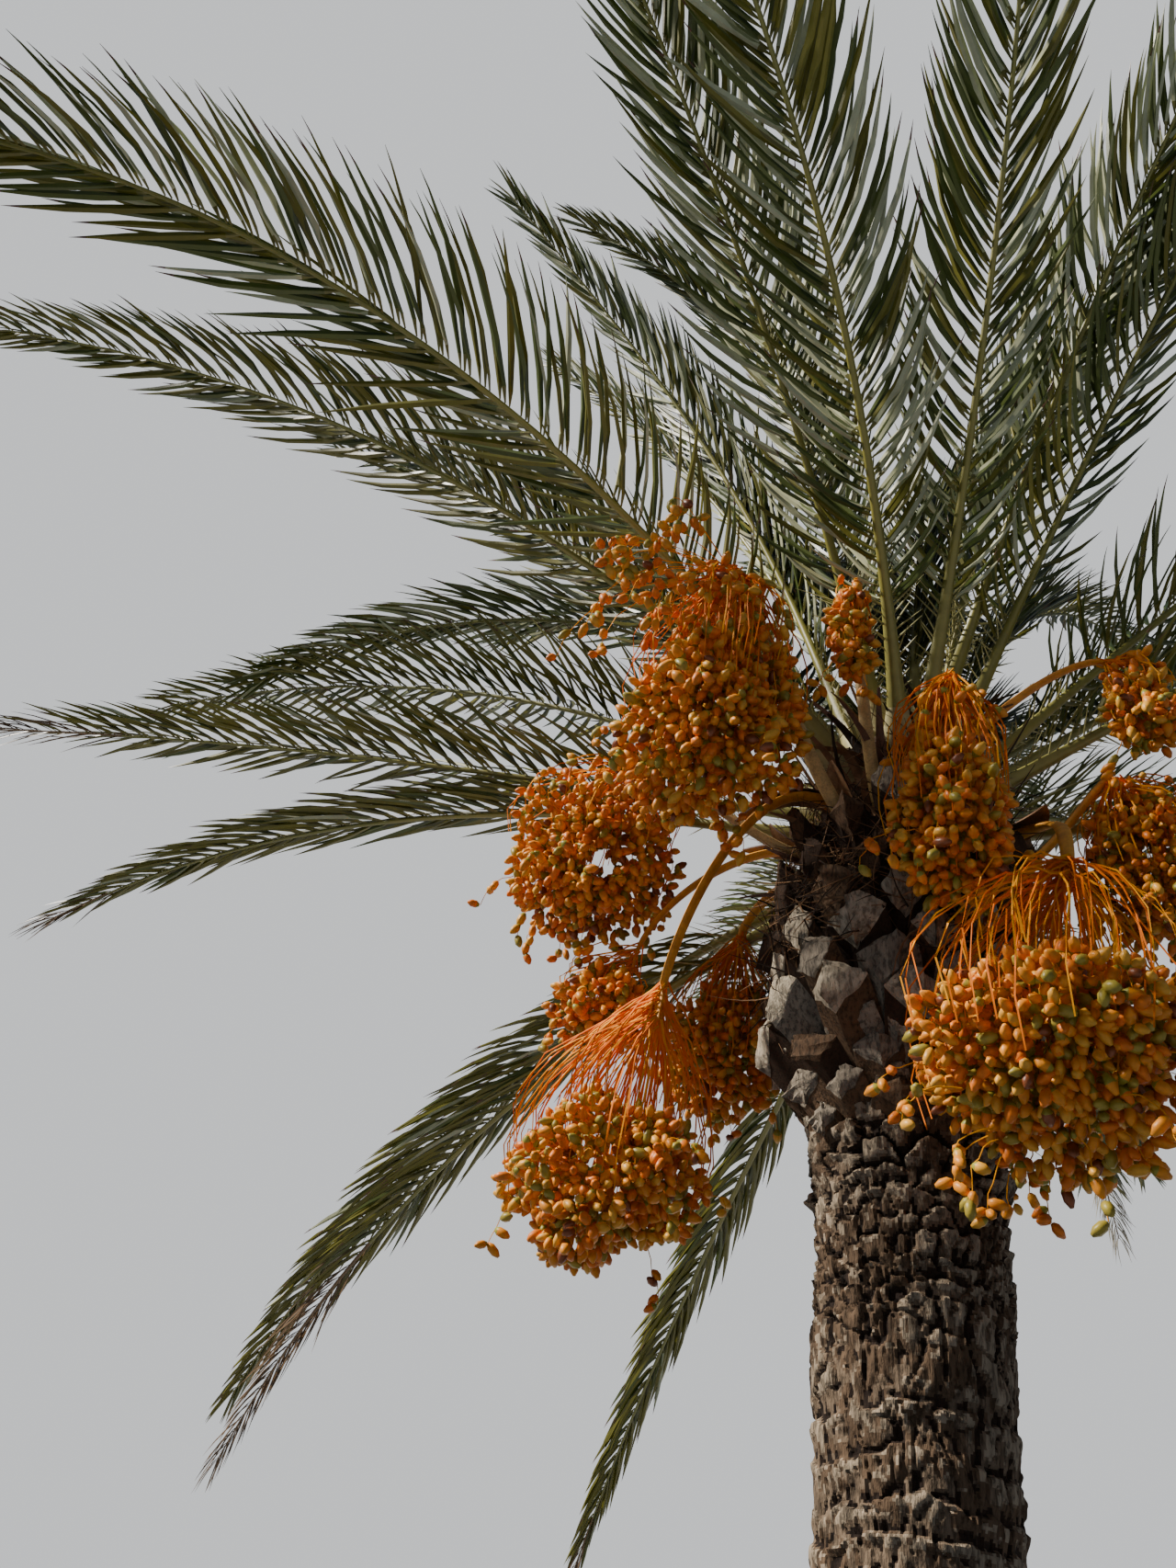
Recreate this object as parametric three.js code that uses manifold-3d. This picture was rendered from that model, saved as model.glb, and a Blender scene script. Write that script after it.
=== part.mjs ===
// A date palm: a leaning trunk with cut leaf bases, a crown of feather-shaped fronds and bunches of fruit.
// Millimetres, +Z up. The origin is the centre of the flat cut under the trunk, at ground level.
// Headings are degrees round the trunk from +X towards +Y.
import * as THREE from "three";
import { mergeVertices } from "three/addons/utils/BufferGeometryUtils.js";
import Module from "manifold-3d";

const wasm = await Module();
wasm.setup();

// Trunk
const LEAN = THREE.MathUtils.degToRad(3);
const TRUNK_SIDES = 16;
const FLARE_LOBES = 5;
const FLARE_DEPTH = 0.05;
const FLARE_HEIGHT = 450;
// Radius and height from the ground, over the root flare, the ringed stem and the swelling under the crown
const TRUNK_PROFILE = [
  [325, 0], [288, 110], [250, 280], [229, 560], [217, 1000], [212, 1900], [218, 2650],
  [230, 2900], [268, 3030], [280, 3180], [276, 3500], [225, 3720], [190, 3900], [140, 4100], [80, 4300],
];
const HEART_TIP = 4430;

// Cut leaf bases, set in a spiral under the living fronds
const BOOTS = 73;
const BOOT_FOOT = 3010;
const BOOT_STEP = 9.5;
const BOOT_REACH = 362;
// Rise of the stump and of the face it is cut to
const BOOT_RISE = 48;
const CUT_RISE = 12;
const BOOT_HALF_WIDTH = 76;
const BOOT_DEPTH = { root: [34, 58], cut: [22, 46] };
const BOOT_FLARE = { root: 1.1, cut: 0.82 };
const BOOT_VARIETY = { reach: [-14, 6], width: [0.86, 1] };
const BOOT_GAP = 12;

// Fronds: one rib each, bare at the foot and then with leaflets on both sides
const FROND_LENGTH = 3300;
const RIB_STEPS = 66;
const BEND_POWER = 1.5;
const SOCKET_DEPTH = 50;
const SOCKET_LENGTH = 60;
const SOCKET_FLARE = [1.25, 1.1];
const SEAT_GAP = 0.3;
const BARE_LENGTH = 420;
const BARE_STEPS = 2;
const LEAFLETS = 16;
const LEAFLET_LENGTH = 520;
const LEAFLET_FOLD = 28;
const LEAFLET_RUFFLE = 4;
const LEAFLET_LEAN = [66, 24];
const LEAN_POWER = 0.8;
// Share of that lean against the frond's rise at its foot: young upright fronds are narrower
const LEAN_BY_RISE = [[35, 1], [60, 0.7], [90, 0.5]];
const LEAFLET_SHORTEST = 0.42;
const SWELL_POWER = 0.7;
const LEAFLET_REACHES = [1, 0.8, 0.6, 0.42];
const LEAFLET_LIFTS = [0, 12, -12, 24, -24];
const LEAFLET_GAP = 1.5;
// Half width of the rib against the distance along it
const RIB_TAPER = [[0, 34], [100, 30], [200, 26], [400, 21], [800, 16], [1800, 10], [3300, 3]];
const RIB_FLATNESS = 0.7;
// Radius at which the ribs leave the crown's heart, against height
const HEART_PROFILE = [[3700, 250], [3900, 215], [4100, 165], [4300, 105], [4500, 40]];

// Heading, height of the foot, rise at the foot, bend down by the tip and turn sideways by the tip
const SEEN_FRONDS = [
  [-134, 3980, 33, 95, 9], [-153, 4030, 39, 46, -6], [-178, 4100, 54, 24, -6], [154, 4100, 65, 110, 34],
  [163, 4030, 40, 49, 16], [168, 3970, 20, 27, 27], [171, 3890, 18, 37, -4],
  [153, 3730, -14, 26, -19], [147, 3800, -6, 38, -6], [111, 3740, -14, 36, 13],
  [-110, 4120, 55, 57, -1], [-92, 4060, 45, 48, -26], [-69, 4100, 52, 48, -25],
  [-45, 4190, 59, 36, -15], [-32, 4090, 59, 32, -26],
  [-175, 4180, 77, 41, 38], [160, 4260, 74, 26, 24], [-149, 4320, 89, 57, -15],
  [-8, 4040, 41, 29, -17], [-14, 3940, 24, 38, -12], [17, 4030, 42, 30, -14], [17, 3890, 16, 32, -18],
  [68, 3880, 15, 38, 8], [-5, 4260, 79, 50, -10], [140, 4190, 64, 50, 10],
];
// The far side of the crown is filled by a rule: younger fronds stand higher and steeper
const FAR_FRONDS = 11;
const FAR_HEADING = 35;
const FAR_SPREAD = 80;
const FAR_START = 0.3;
const FAR_TURN = 0.618034;
const FAR_TOP = 4300;
const FAR_DROP = 35;
const FAR_RISE = 84;
const FAR_RISE_STEP = 6;
const FAR_BEND = 50;
const FAR_SIDEWAYS = 10;

// Fruit
const STALK_STEPS = 4;
const STALK_HALF_WIDTH = [24, 15];
const STALK_FLATNESS = 0.45;
const STALK_REACH = 0.4;
const STEEPEST = 0.2;
const STALK_ARCH = 0.3;
const STALK_SOCKET_FLARE = [1.3, 1.15];
const SMALL_BALL = 160;
const KNOB_SIZE = 64;
const STRAND_RADIUS = 7;
const STRAND_TAPER = 0.6;
const STRAND_START = 18;
const DATE_LENGTH = 74;
const DATE_WIDTH = 50;
const DATE_SUNK = 10;
const DATE_BAND = [-0.95, 0.8];
const STRAND_BAND = [0.35, 0.75];
const STRAND_SUNK = 0.85;
const FRUIT_GAP = 4;
// The stalk's heading, height and rise at its foot; the head, where the strands spread; the centre and half
// sizes of the ball of fruit; the number of dates that stand out of it and of strands that reach it
const BUNCHES = [
  [[-123, 3720, 10], [-245, -730, 4240], [-310, -670, 3760, 240, 290], 10, 5],
  [[-165, 3720, 10], [-640, -140, 4050], [-760, -10, 3800, 270, 225], 9, 4],
  [[-70, 3740, 30], [320, -610, 3900], [280, -540, 3490, 165, 250], 9, 4],
  [[-21, 3740, 10], [530, -560, 3270], [420, -550, 2840, 305, 250], 11, 5],
  [[5, 3700, 10], [810, -110, 3940], [910, 70, 3740, 200, 255], 8, 4],
  [[-138, 3820, 30], [-475, -175, 3140], [-630, 60, 2810, 260, 230], 9, 5],
  [[171, 3720, 30], [-300, 190, 3600], [-355, 405, 3365, 180, 215], 8, 4],
  [[-104, 3740, 30], [90, -560, 4330], [70, -600, 4110, 60, 190], 5, 3],
  [[176, 3800, 30], [-600, 60, 3440], [-690, 90, 3330, 150, 105], 6, 3],
  [[-59, 3920, 30], [800, -370, 4130], [840, -390, 3960, 95, 140], 5, 3],
  [[75, 3720, 30], [300, 700, 3650], [330, 800, 3300, 200, 230], 8, 4],
  [[41, 3740, 30], [740, 470, 3700], [780, 500, 3400, 185, 210], 8, 4],
  [[120, 3860, 30], [-80, 560, 3980], [-100, 600, 3790, 120, 135], 6, 3],
];
// A loose spray of the first bunch that hangs apart from its ball
const LOOSE_SPRAY = [[-505, -960, 4030], [-430, -930, 3930], [-390, -1010, 4120], [-540, -880, 4140]];

const COLOURS = { trunk: 0x6f6150, frond: 0x5d6b35, bunch: 0xc9791f };
const ROUGHNESS = { trunk: 0.95, frond: 0.6, bunch: 0.5 };
const GOLDEN_ANGLE = 137.5;
const FIRST_SEED = 11;
const SPACE_CELL = 160;
const SAME_POINT = 1e-3;
const PARALLEL = 1e-9;

const radians = THREE.MathUtils.degToRad;

function random(seed) {
  let state = seed;
  return () => {
    state = (state * 1664525 + 1013904223) % 4294967296;
    return state / 4294967296;
  };
}

// Value of a [key, value] list at a key, on straight lines between its rows
function along(rows, key) {
  const last = rows.length - 1;
  if (key <= rows[0][0]) return rows[0][1];
  if (key >= rows[last][0]) return rows[last][1];
  const next = rows.findIndex((row) => row[0] > key);
  const [a, b] = [rows[next - 1], rows[next]];
  return THREE.MathUtils.lerp(a[1], b[1], (key - a[0]) / (b[0] - a[0]));
}

function trunkRadius(height) {
  return along(TRUNK_PROFILE.map(([radius, z]) => [z, radius]), height);
}

function axisPoint(height) {
  return new THREE.Vector3(Math.tan(LEAN) * height, 0, height);
}

function outward(heading) {
  return new THREE.Vector3(Math.cos(radians(heading)), Math.sin(radians(heading)), 0);
}

// A direction with its right-hand side and its upper side
function facing(heading, rise) {
  const out = outward(heading);
  const forward = out.clone().multiplyScalar(Math.cos(radians(rise)));
  forward.z = Math.sin(radians(rise));
  const side = new THREE.Vector3(out.y, -out.x, 0);
  const up = new THREE.Vector3().crossVectors(side, forward);
  return { forward, side, up };
}

// A closed body in the making: its points and its triangles
class Body {
  constructor() {
    this.points = [];
    this.faces = [];
  }

  point(p) {
    this.points.push(p);
    return this.points.length - 1;
  }

  face(a, b, c) {
    this.faces.push([a, b, c]);
  }

  quad(a, b, c, d) {
    this.face(a, b, c);
    this.face(a, c, d);
  }

  triangles() {
    return this.faces.map(([a, b, c]) => new THREE.Triangle(this.points[a], this.points[b], this.points[c]));
  }

  geometry() {
    const geometry = new THREE.BufferGeometry();
    const position = this.points.flatMap((p) => p.toArray());
    geometry.setAttribute("position", new THREE.Float32BufferAttribute(position, 3));
    geometry.setIndex(this.faces.flat());
    return geometry;
  }
}

// Adds a four-pointed ring, kite-shaped: top, right, keel and left
function addRing(body, { centre, frame, width, top, keel }) {
  const { side, up } = frame;
  return [
    body.point(centre.clone().addScaledVector(up, top)),
    body.point(centre.clone().addScaledVector(side, width)),
    body.point(centre.clone().addScaledVector(up, -keel)),
    body.point(centre.clone().addScaledVector(side, -width)),
  ];
}

function joinRings(body, a, b) {
  for (let i = 0; i < 4; i += 1) {
    const next = (i + 1) % 4;
    body.quad(a[i], a[next], b[next], b[i]);
  }
}

function closeStart(body, ring) {
  body.quad(ring[0], ring[3], ring[2], ring[1]);
}

function closeEnd(body, ring) {
  body.quad(ring[0], ring[1], ring[2], ring[3]);
}

// A tapering limb through a list of rings
function limb(rings) {
  const body = new Body();
  const corners = rings.map((ring) => addRing(body, ring));
  closeStart(body, corners[0]);
  for (let i = 1; i < corners.length; i += 1) joinRings(body, corners[i - 1], corners[i]);
  closeEnd(body, corners[corners.length - 1]);
  return body;
}

function toSolid(geometry) {
  const bare = geometry.clone();
  bare.deleteAttribute("normal");
  bare.deleteAttribute("uv");
  const merged = mergeVertices(bare, SAME_POINT);
  const vertProperties = new Float32Array(merged.attributes.position.array);
  const triVerts = new Uint32Array(merged.index.array);
  return new wasm.Manifold(new wasm.Mesh({ numProp: 3, vertProperties, triVerts }));
}

function toBody(solid) {
  const mesh = solid.getMesh();
  const body = new Body();
  for (let i = 0; i < mesh.vertProperties.length; i += mesh.numProp) {
    body.point(new THREE.Vector3(...mesh.vertProperties.slice(i, i + 3)));
  }
  for (let i = 0; i < mesh.triVerts.length; i += 3) body.face(...mesh.triVerts.slice(i, i + 3));
  return body;
}

function segmentGap(p, q, r, s) {
  const d1 = new THREE.Vector3().subVectors(q, p);
  const d2 = new THREE.Vector3().subVectors(s, r);
  const between = new THREE.Vector3().subVectors(p, r);
  const [a, e, f] = [d1.dot(d1), d2.dot(d2), d2.dot(between)];
  const [b, c] = [d1.dot(d2), d1.dot(between)];
  const area = a * e - b * b;
  const clamp = (x) => THREE.MathUtils.clamp(x, 0, 1);
  let t = area > PARALLEL ? clamp((b * f - c * e) / area) : 0;
  let u = clamp((b * t + f) / e);
  t = clamp((b * u - c) / a);
  u = clamp((b * t + f) / e);
  const onFirst = p.clone().addScaledVector(d1, t);
  const onSecond = r.clone().addScaledVector(d2, u);
  return onFirst.distanceTo(onSecond);
}

function crosses(p, q, triangle) {
  const reach = new THREE.Vector3().subVectors(q, p);
  const ray = new THREE.Ray(p, reach.clone().normalize());
  const hit = ray.intersectTriangle(triangle.a, triangle.b, triangle.c, false, new THREE.Vector3());
  return hit !== null && hit.distanceTo(p) <= reach.length();
}

function trianglesMeet(t, u, gap) {
  const edges = (v) => [[v.a, v.b], [v.b, v.c], [v.c, v.a]];
  const nearest = new THREE.Vector3();
  const reached = (corner, face) => face.closestPointToPoint(corner, nearest).distanceTo(corner) < gap;
  return (
    edges(t).some(([p, q]) => edges(u).some(([r, s]) => segmentGap(p, q, r, s) < gap)) ||
    [t.a, t.b, t.c].some((corner) => reached(corner, u)) ||
    [u.a, u.b, u.c].some((corner) => reached(corner, t)) ||
    edges(t).some(([p, q]) => crosses(p, q, u)) ||
    edges(u).some(([p, q]) => crosses(p, q, t))
  );
}

// Keeps every triangle that is placed, sorted into cells, so that a new one can be tested against them
class Space {
  constructor(cell) {
    this.cell = cell;
    this.cells = new Map();
  }

  keys(box) {
    const low = box.min.clone().divideScalar(this.cell).floor();
    const high = box.max.clone().divideScalar(this.cell).floor();
    const keys = [];
    for (let x = low.x; x <= high.x; x += 1) {
      for (let y = low.y; y <= high.y; y += 1) {
        for (let z = low.z; z <= high.z; z += 1) keys.push(`${x},${y},${z}`);
      }
    }
    return keys;
  }

  add(owner, triangles) {
    for (const triangle of triangles) {
      const box = new THREE.Box3().setFromPoints([triangle.a, triangle.b, triangle.c]);
      const entry = { owner, triangle, box };
      for (const key of this.keys(box)) {
        if (!this.cells.has(key)) this.cells.set(key, []);
        this.cells.get(key).push(entry);
      }
    }
  }

  // The owner of something nearer than the gap, or undefined where all is clear
  meets(owner, triangles, gap) {
    for (const triangle of triangles) {
      const box = new THREE.Box3().setFromPoints([triangle.a, triangle.b, triangle.c]).expandByScalar(gap);
      const near = new Set(this.keys(box).flatMap((key) => this.cells.get(key) ?? []));
      for (const entry of near) {
        if (entry.owner === owner || !entry.box.intersectsBox(box)) continue;
        if (trianglesMeet(triangle, entry.triangle, gap)) return entry.owner;
      }
    }
    return undefined;
  }
}

const space = new Space(SPACE_CELL);

// One frond's rib: an arc that bends down and turns sideways as it leaves the heart
class Rib {
  constructor(name, [heading, foot, rise, bend, turn]) {
    this.name = name;
    this.shape = { heading, rise, bend, turn };
    const start = axisPoint(foot).addScaledVector(outward(heading), along(HEART_PROFILE, foot));
    this.line = [start];
    const step = FROND_LENGTH / RIB_STEPS;
    for (let i = 0; i < RIB_STEPS; i += 1) {
      const { forward } = this.frame((i + 0.5) * step);
      this.line.push(this.line[i].clone().addScaledVector(forward, step));
    }
  }

  frame(distance) {
    const { heading, rise, bend, turn } = this.shape;
    const t = Math.max(distance, 0) / FROND_LENGTH;
    return facing(heading + turn * t, rise - bend * t ** BEND_POWER);
  }

  point(distance) {
    if (distance < 0) return this.line[0].clone().addScaledVector(this.frame(0).forward, distance);
    const place = Math.min(distance / FROND_LENGTH, 1) * RIB_STEPS;
    const index = Math.min(Math.floor(place), RIB_STEPS - 1);
    return this.line[index].clone().lerp(this.line[index + 1], place - index);
  }

  ring(distance, scale = 1) {
    const width = along(RIB_TAPER, distance) * scale;
    const height = width * RIB_FLATNESS;
    return { centre: this.point(distance), frame: this.frame(distance), width, top: height, keel: height };
  }

  // The sheath on the trunk that the frond grows from
  socket() {
    return limb([this.ring(-SOCKET_DEPTH, SOCKET_FLARE[0]), this.ring(SOCKET_LENGTH, SOCKET_FLARE[1])]);
  }

  bareStations() {
    const start = SOCKET_LENGTH + SEAT_GAP;
    return Array.from({ length: BARE_STEPS + 1 }, (_, i) => start + ((BARE_LENGTH - start) * i) / BARE_STEPS);
  }

  leafStations() {
    const step = (FROND_LENGTH - BARE_LENGTH) / LEAFLETS;
    return Array.from({ length: LEAFLETS }, (_, i) => BARE_LENGTH + step * (i + 1));
  }

  // The rib alone, without its leaflets
  bare() {
    return limb([...this.bareStations(), ...this.leafStations()].map((distance) => this.ring(distance)));
  }
}

// Tip of the leaflet whose foot lies at a share of the leafy length; side is 1 on the right, -1 on the left
function leafletTip(rib, index, side, reach, lift) {
  const share = (index + 0.5) / LEAFLETS;
  const foot = BARE_LENGTH + (FROND_LENGTH - BARE_LENGTH) * share;
  const { forward, side: right, up } = rib.frame(foot);
  const swell = THREE.MathUtils.lerp(LEAFLET_SHORTEST, 1, Math.sin(Math.PI * share ** SWELL_POWER));
  const openness = along(LEAN_BY_RISE, rib.shape.rise);
  const lean = radians(openness * THREE.MathUtils.lerp(...LEAFLET_LEAN, share ** LEAN_POWER));
  const fold = radians(LEAFLET_FOLD + lift);
  const across = right.clone().multiplyScalar(side * Math.cos(fold)).addScaledVector(up, Math.sin(fold));
  const direction = forward.clone().multiplyScalar(Math.cos(lean)).addScaledVector(across, Math.sin(lean));
  return rib.point(foot).addScaledVector(direction, LEAFLET_LENGTH * swell * reach);
}

// The first leaflet shape that is clear of everything placed before it, or undefined
function freeLeaflet(rib, body, a, b, index, side) {
  const edge = side > 0 ? 1 : 3;
  const own = index % 2 === 0 ? LEAFLET_RUFFLE : -LEAFLET_RUFFLE;
  const [topA, edgeA, keelA] = [a[0], a[edge], a[2]].map((id) => body.points[id]);
  const [topB, edgeB, keelB] = [b[0], b[edge], b[2]].map((id) => body.points[id]);
  for (const reach of LEAFLET_REACHES) {
    for (const lift of LEAFLET_LIFTS) {
      const tip = leafletTip(rib, index, side, reach, lift + own);
      const triangles = [
        [topA, edgeA, tip], [topA, tip, topB], [topB, tip, edgeB],
        [keelA, tip, edgeA], [keelA, keelB, tip], [keelB, edgeB, tip],
      ].map((corners) => new THREE.Triangle(...corners));
      if (!space.meets(rib.name, triangles, LEAFLET_GAP)) {
        space.add(rib.name, triangles);
        return tip;
      }
    }
  }
  return undefined;
}

// Joins two rings of the leafy length: on each side a leaflet, or the bare side of the rib without room
function addLeafySegment(rib, body, a, b, index) {
  for (const side of [1, -1]) {
    const edge = side > 0 ? 1 : 3;
    const tip = freeLeaflet(rib, body, a, b, index, side);
    const face = (p, q, r) => (side > 0 ? body.face(p, q, r) : body.face(p, r, q));
    if (tip === undefined) {
      face(a[0], a[edge], b[edge]);
      face(a[0], b[edge], b[0]);
      face(a[2], b[2], b[edge]);
      face(a[2], b[edge], a[edge]);
      continue;
    }
    const t = body.point(tip);
    face(a[0], a[edge], t);
    face(a[0], t, b[0]);
    face(b[0], t, b[edge]);
    face(a[2], t, a[edge]);
    face(a[2], b[2], t);
    face(b[2], b[edge], t);
  }
}

function frondBody(rib) {
  const body = new Body();
  const add = (distance) => addRing(body, rib.ring(distance));
  const bare = rib.bareStations().map(add);
  closeStart(body, bare[0]);
  for (let i = 1; i < bare.length; i += 1) joinRings(body, bare[i - 1], bare[i]);
  let last = bare[bare.length - 1];
  rib.leafStations().forEach((distance, index) => {
    const ring = add(distance);
    addLeafySegment(rib, body, last, ring, index);
    last = ring;
  });
  closeEnd(body, last);
  return body;
}

function farFronds() {
  return Array.from({ length: FAR_FRONDS }, (_, i) => {
    const share = (FAR_START + FAR_TURN * i) % 1;
    const sideways = i % 2 === 0 ? -FAR_SIDEWAYS : FAR_SIDEWAYS;
    const rise = FAR_RISE - FAR_RISE_STEP * i;
    return [FAR_HEADING + FAR_SPREAD * share, FAR_TOP - FAR_DROP * i, rise, FAR_BEND, sideways];
  });
}

// One bunch: a flat stalk that arches out of the crown, strands from its head, and a ball with dates on it
class Bunch {
  constructor(name, [stalk, head, ball, dates, strands]) {
    this.name = name;
    const [heading, foot, rise] = stalk;
    this.foot = axisPoint(foot).addScaledVector(outward(heading), along(HEART_PROFILE, foot));
    this.start = facing(heading, rise);
    this.head = new THREE.Vector3(...head);
    this.centre = new THREE.Vector3(...ball.slice(0, 3));
    [this.radius, this.height] = ball.slice(3);
    this.dates = dates;
    this.strands = strands;
    const span = this.foot.distanceTo(this.head);
    const over = this.head.clone().add(new THREE.Vector3(0, 0, STALK_ARCH * span));
    const out = this.foot.clone().addScaledVector(this.start.forward, STALK_REACH * span);
    this.curve = new THREE.CubicBezierCurve3(this.foot, out, over, this.head);
    this.socketShare = SOCKET_LENGTH / this.curve.getLength();
    this.faces = geometryTriangles(this.ball());
  }

  ring(place, scale = 1) {
    const share = THREE.MathUtils.clamp(place, 0, 1);
    const forward = this.curve.getTangentAt(share);
    const side = new THREE.Vector3().crossVectors(forward, new THREE.Vector3(0, 0, 1));
    if (side.length() < STEEPEST) side.copy(this.start.side);
    side.normalize();
    const up = new THREE.Vector3().crossVectors(side, forward).normalize();
    const width = THREE.MathUtils.lerp(...STALK_HALF_WIDTH, share) * scale;
    const height = width * STALK_FLATNESS;
    return { centre: this.curve.getPointAt(share), frame: { side, up }, width, top: height, keel: height };
  }

  socket() {
    const inner = this.ring(0, STALK_SOCKET_FLARE[0]);
    inner.centre.addScaledVector(this.start.forward, -SOCKET_DEPTH);
    return limb([inner, this.ring(this.socketShare, STALK_SOCKET_FLARE[1])]);
  }

  stalk() {
    const start = this.socketShare + SEAT_GAP / this.curve.getLength();
    const shares = Array.from({ length: STALK_STEPS + 1 }, (_, i) => start + ((1 - start) * i) / STALK_STEPS);
    return limb(shares.map((share) => this.ring(share)));
  }

  // The swelling at the stalk's end that the strands spread from
  knob() {
    const geometry = new THREE.OctahedronGeometry(KNOB_SIZE / 2, 0);
    geometry.translate(...this.head.toArray());
    return geometry;
  }

  ball() {
    const geometry = new THREE.IcosahedronGeometry(1, this.radius > SMALL_BALL ? 1 : 0);
    geometry.scale(this.radius, this.radius, this.height);
    geometry.translate(...this.centre.toArray());
    return geometry;
  }

  // A direction out of the ball, one of a count spread evenly over a band of it
  spread(index, count, [low, high]) {
    const z = THREE.MathUtils.lerp(high, low, (index + 0.5) / count);
    const flat = Math.sqrt(1 - z * z);
    const heading = radians(index * GOLDEN_ANGLE);
    return new THREE.Vector3(Math.cos(heading) * flat, Math.sin(heading) * flat, z);
  }

  stretch() {
    return new THREE.Vector3(this.radius, this.radius, this.height);
  }

  // Where a ray from the centre leaves the faceted ball
  onBall(direction, scale = 1) {
    const ray = new THREE.Ray(this.centre, direction.clone().multiply(this.stretch()).normalize());
    const reached = this.faces
      .map(({ a, b, c }) => ray.intersectTriangle(a, b, c, false, new THREE.Vector3()))
      .find((hit) => hit !== null);
    return this.centre.clone().lerp(reached, scale);
  }

  date(index) {
    const direction = this.spread(index, this.dates, DATE_BAND);
    const normal = direction.clone().divide(this.stretch()).normalize();
    return datePod(this.onBall(direction).addScaledVector(normal, DATE_LENGTH / 2 - DATE_SUNK), normal);
  }

  strand(index) {
    const direction = this.spread(index, this.strands, STRAND_BAND);
    return strandBody(this.head, this.onBall(direction, STRAND_SUNK));
  }
}

// An elongated eight-faced date whose long axis follows a direction
function datePod(centre, direction) {
  const geometry = new THREE.OctahedronGeometry(0.5, 0);
  geometry.scale(DATE_WIDTH, DATE_WIDTH, DATE_LENGTH);
  geometry.applyQuaternion(new THREE.Quaternion().setFromUnitVectors(new THREE.Vector3(0, 0, 1), direction));
  geometry.translate(...centre.toArray());
  return geometry;
}

// A three-sided strand, thicker at its foot in the knob
function strandBody(from, to) {
  const geometry = new THREE.CylinderGeometry(STRAND_RADIUS * STRAND_TAPER, STRAND_RADIUS, 1, 3, 1);
  const reach = new THREE.Vector3().subVectors(to, from);
  const start = from.clone().addScaledVector(reach, STRAND_START / reach.length());
  geometry.scale(1, start.distanceTo(to), 1);
  geometry.applyQuaternion(
    new THREE.Quaternion().setFromUnitVectors(new THREE.Vector3(0, 1, 0), reach.clone().normalize()),
  );
  geometry.translate(...start.lerp(to, 0.5).toArray());
  return geometry;
}

function geometryTriangles(geometry) {
  return toBody(toSolid(geometry)).triangles();
}

function bootBody(index) {
  const heading = index * GOLDEN_ANGLE;
  const height = BOOT_FOOT + index * BOOT_STEP;
  const vary = random(index + FIRST_SEED);
  const stump = facing(heading, BOOT_RISE);
  const core = trunkRadius(height);
  const reach = BOOT_REACH - core + THREE.MathUtils.lerp(...BOOT_VARIETY.reach, vary());
  const out = axisPoint(height).addScaledVector(outward(heading), core);
  const inner = out.clone().addScaledVector(stump.forward, -BOOT_HALF_WIDTH);
  const outer = out.clone().addScaledVector(stump.forward, reach / Math.cos(radians(BOOT_RISE)));
  const width = BOOT_HALF_WIDTH * THREE.MathUtils.lerp(...BOOT_VARIETY.width, vary());
  const ring = (centre, end, frame) => {
    const [top, keel] = BOOT_DEPTH[end];
    return { centre, frame, width: width * BOOT_FLARE[end], top, keel };
  };
  return limb([ring(inner, "root", stump), ring(outer, "cut", facing(heading, CUT_RISE))]);
}

function trunkColumn() {
  const profile = [[0, 0], ...TRUNK_PROFILE, [0, HEART_TIP]];
  const points = profile.map(([radius, height]) => new THREE.Vector2(radius, height));
  const geometry = new THREE.LatheGeometry(points, TRUNK_SIDES);
  geometry.rotateX(Math.PI / 2);
  const position = geometry.attributes.position;
  for (let i = 0; i < position.count; i += 1) {
    const p = new THREE.Vector3().fromBufferAttribute(position, i);
    const fade = Math.max(0, 1 - p.z / FLARE_HEIGHT);
    const lobes = 1 + FLARE_DEPTH * fade * Math.sin(FLARE_LOBES * Math.atan2(p.y, p.x));
    position.setXYZ(i, p.x * lobes + Math.tan(LEAN) * p.z, p.y * lobes, p.z);
  }
  return geometry;
}

const numbered = (stem, index) => `${stem}_${String(index + 1).padStart(2, "0")}`;
const ribs = [...SEEN_FRONDS, ...farFronds()].map((row, i) => new Rib(numbered("frond", i), row));
const bunches = BUNCHES.map((row, i) => new Bunch(numbered("fruit_bunch", i), row));

for (const rib of ribs) space.add(rib.name, rib.bare().triangles());
for (const bunch of bunches) {
  space.add(bunch.name, bunch.stalk().triangles());
  space.add(bunch.name, geometryTriangles(bunch.ball()));
}

// The trunk takes in its sheaths, and each cut leaf base that stays clear of the ribs and stalks
function trunkBody() {
  let solid = toSolid(trunkColumn());
  for (const holder of [...ribs, ...bunches]) solid = solid.add(toSolid(holder.socket().geometry()));
  for (let index = 0; index < BOOTS; index += 1) {
    const boot = bootBody(index);
    if (!space.meets("trunk", boot.triangles(), BOOT_GAP)) solid = solid.add(toSolid(boot.geometry()));
  }
  return toBody(solid);
}

function bunchBody(bunch) {
  let solid = toSolid(bunch.ball()).add(toSolid(bunch.stalk().geometry())).add(toSolid(bunch.knob()));
  const pieces = [
    ...Array.from({ length: bunch.strands }, (_, i) => bunch.strand(i)),
    ...Array.from({ length: bunch.dates }, (_, i) => bunch.date(i)),
  ];
  if (bunch === bunches[0]) {
    for (const place of LOOSE_SPRAY) {
      const end = new THREE.Vector3(...place);
      pieces.push(strandBody(bunch.head, end), datePod(end, new THREE.Vector3(0, 0, 1)));
    }
  }
  for (const piece of pieces) {
    const triangles = geometryTriangles(piece);
    if (space.meets(bunch.name, triangles, FRUIT_GAP)) continue;
    space.add(bunch.name, triangles);
    solid = solid.add(toSolid(piece));
  }
  return toBody(solid);
}

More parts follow.
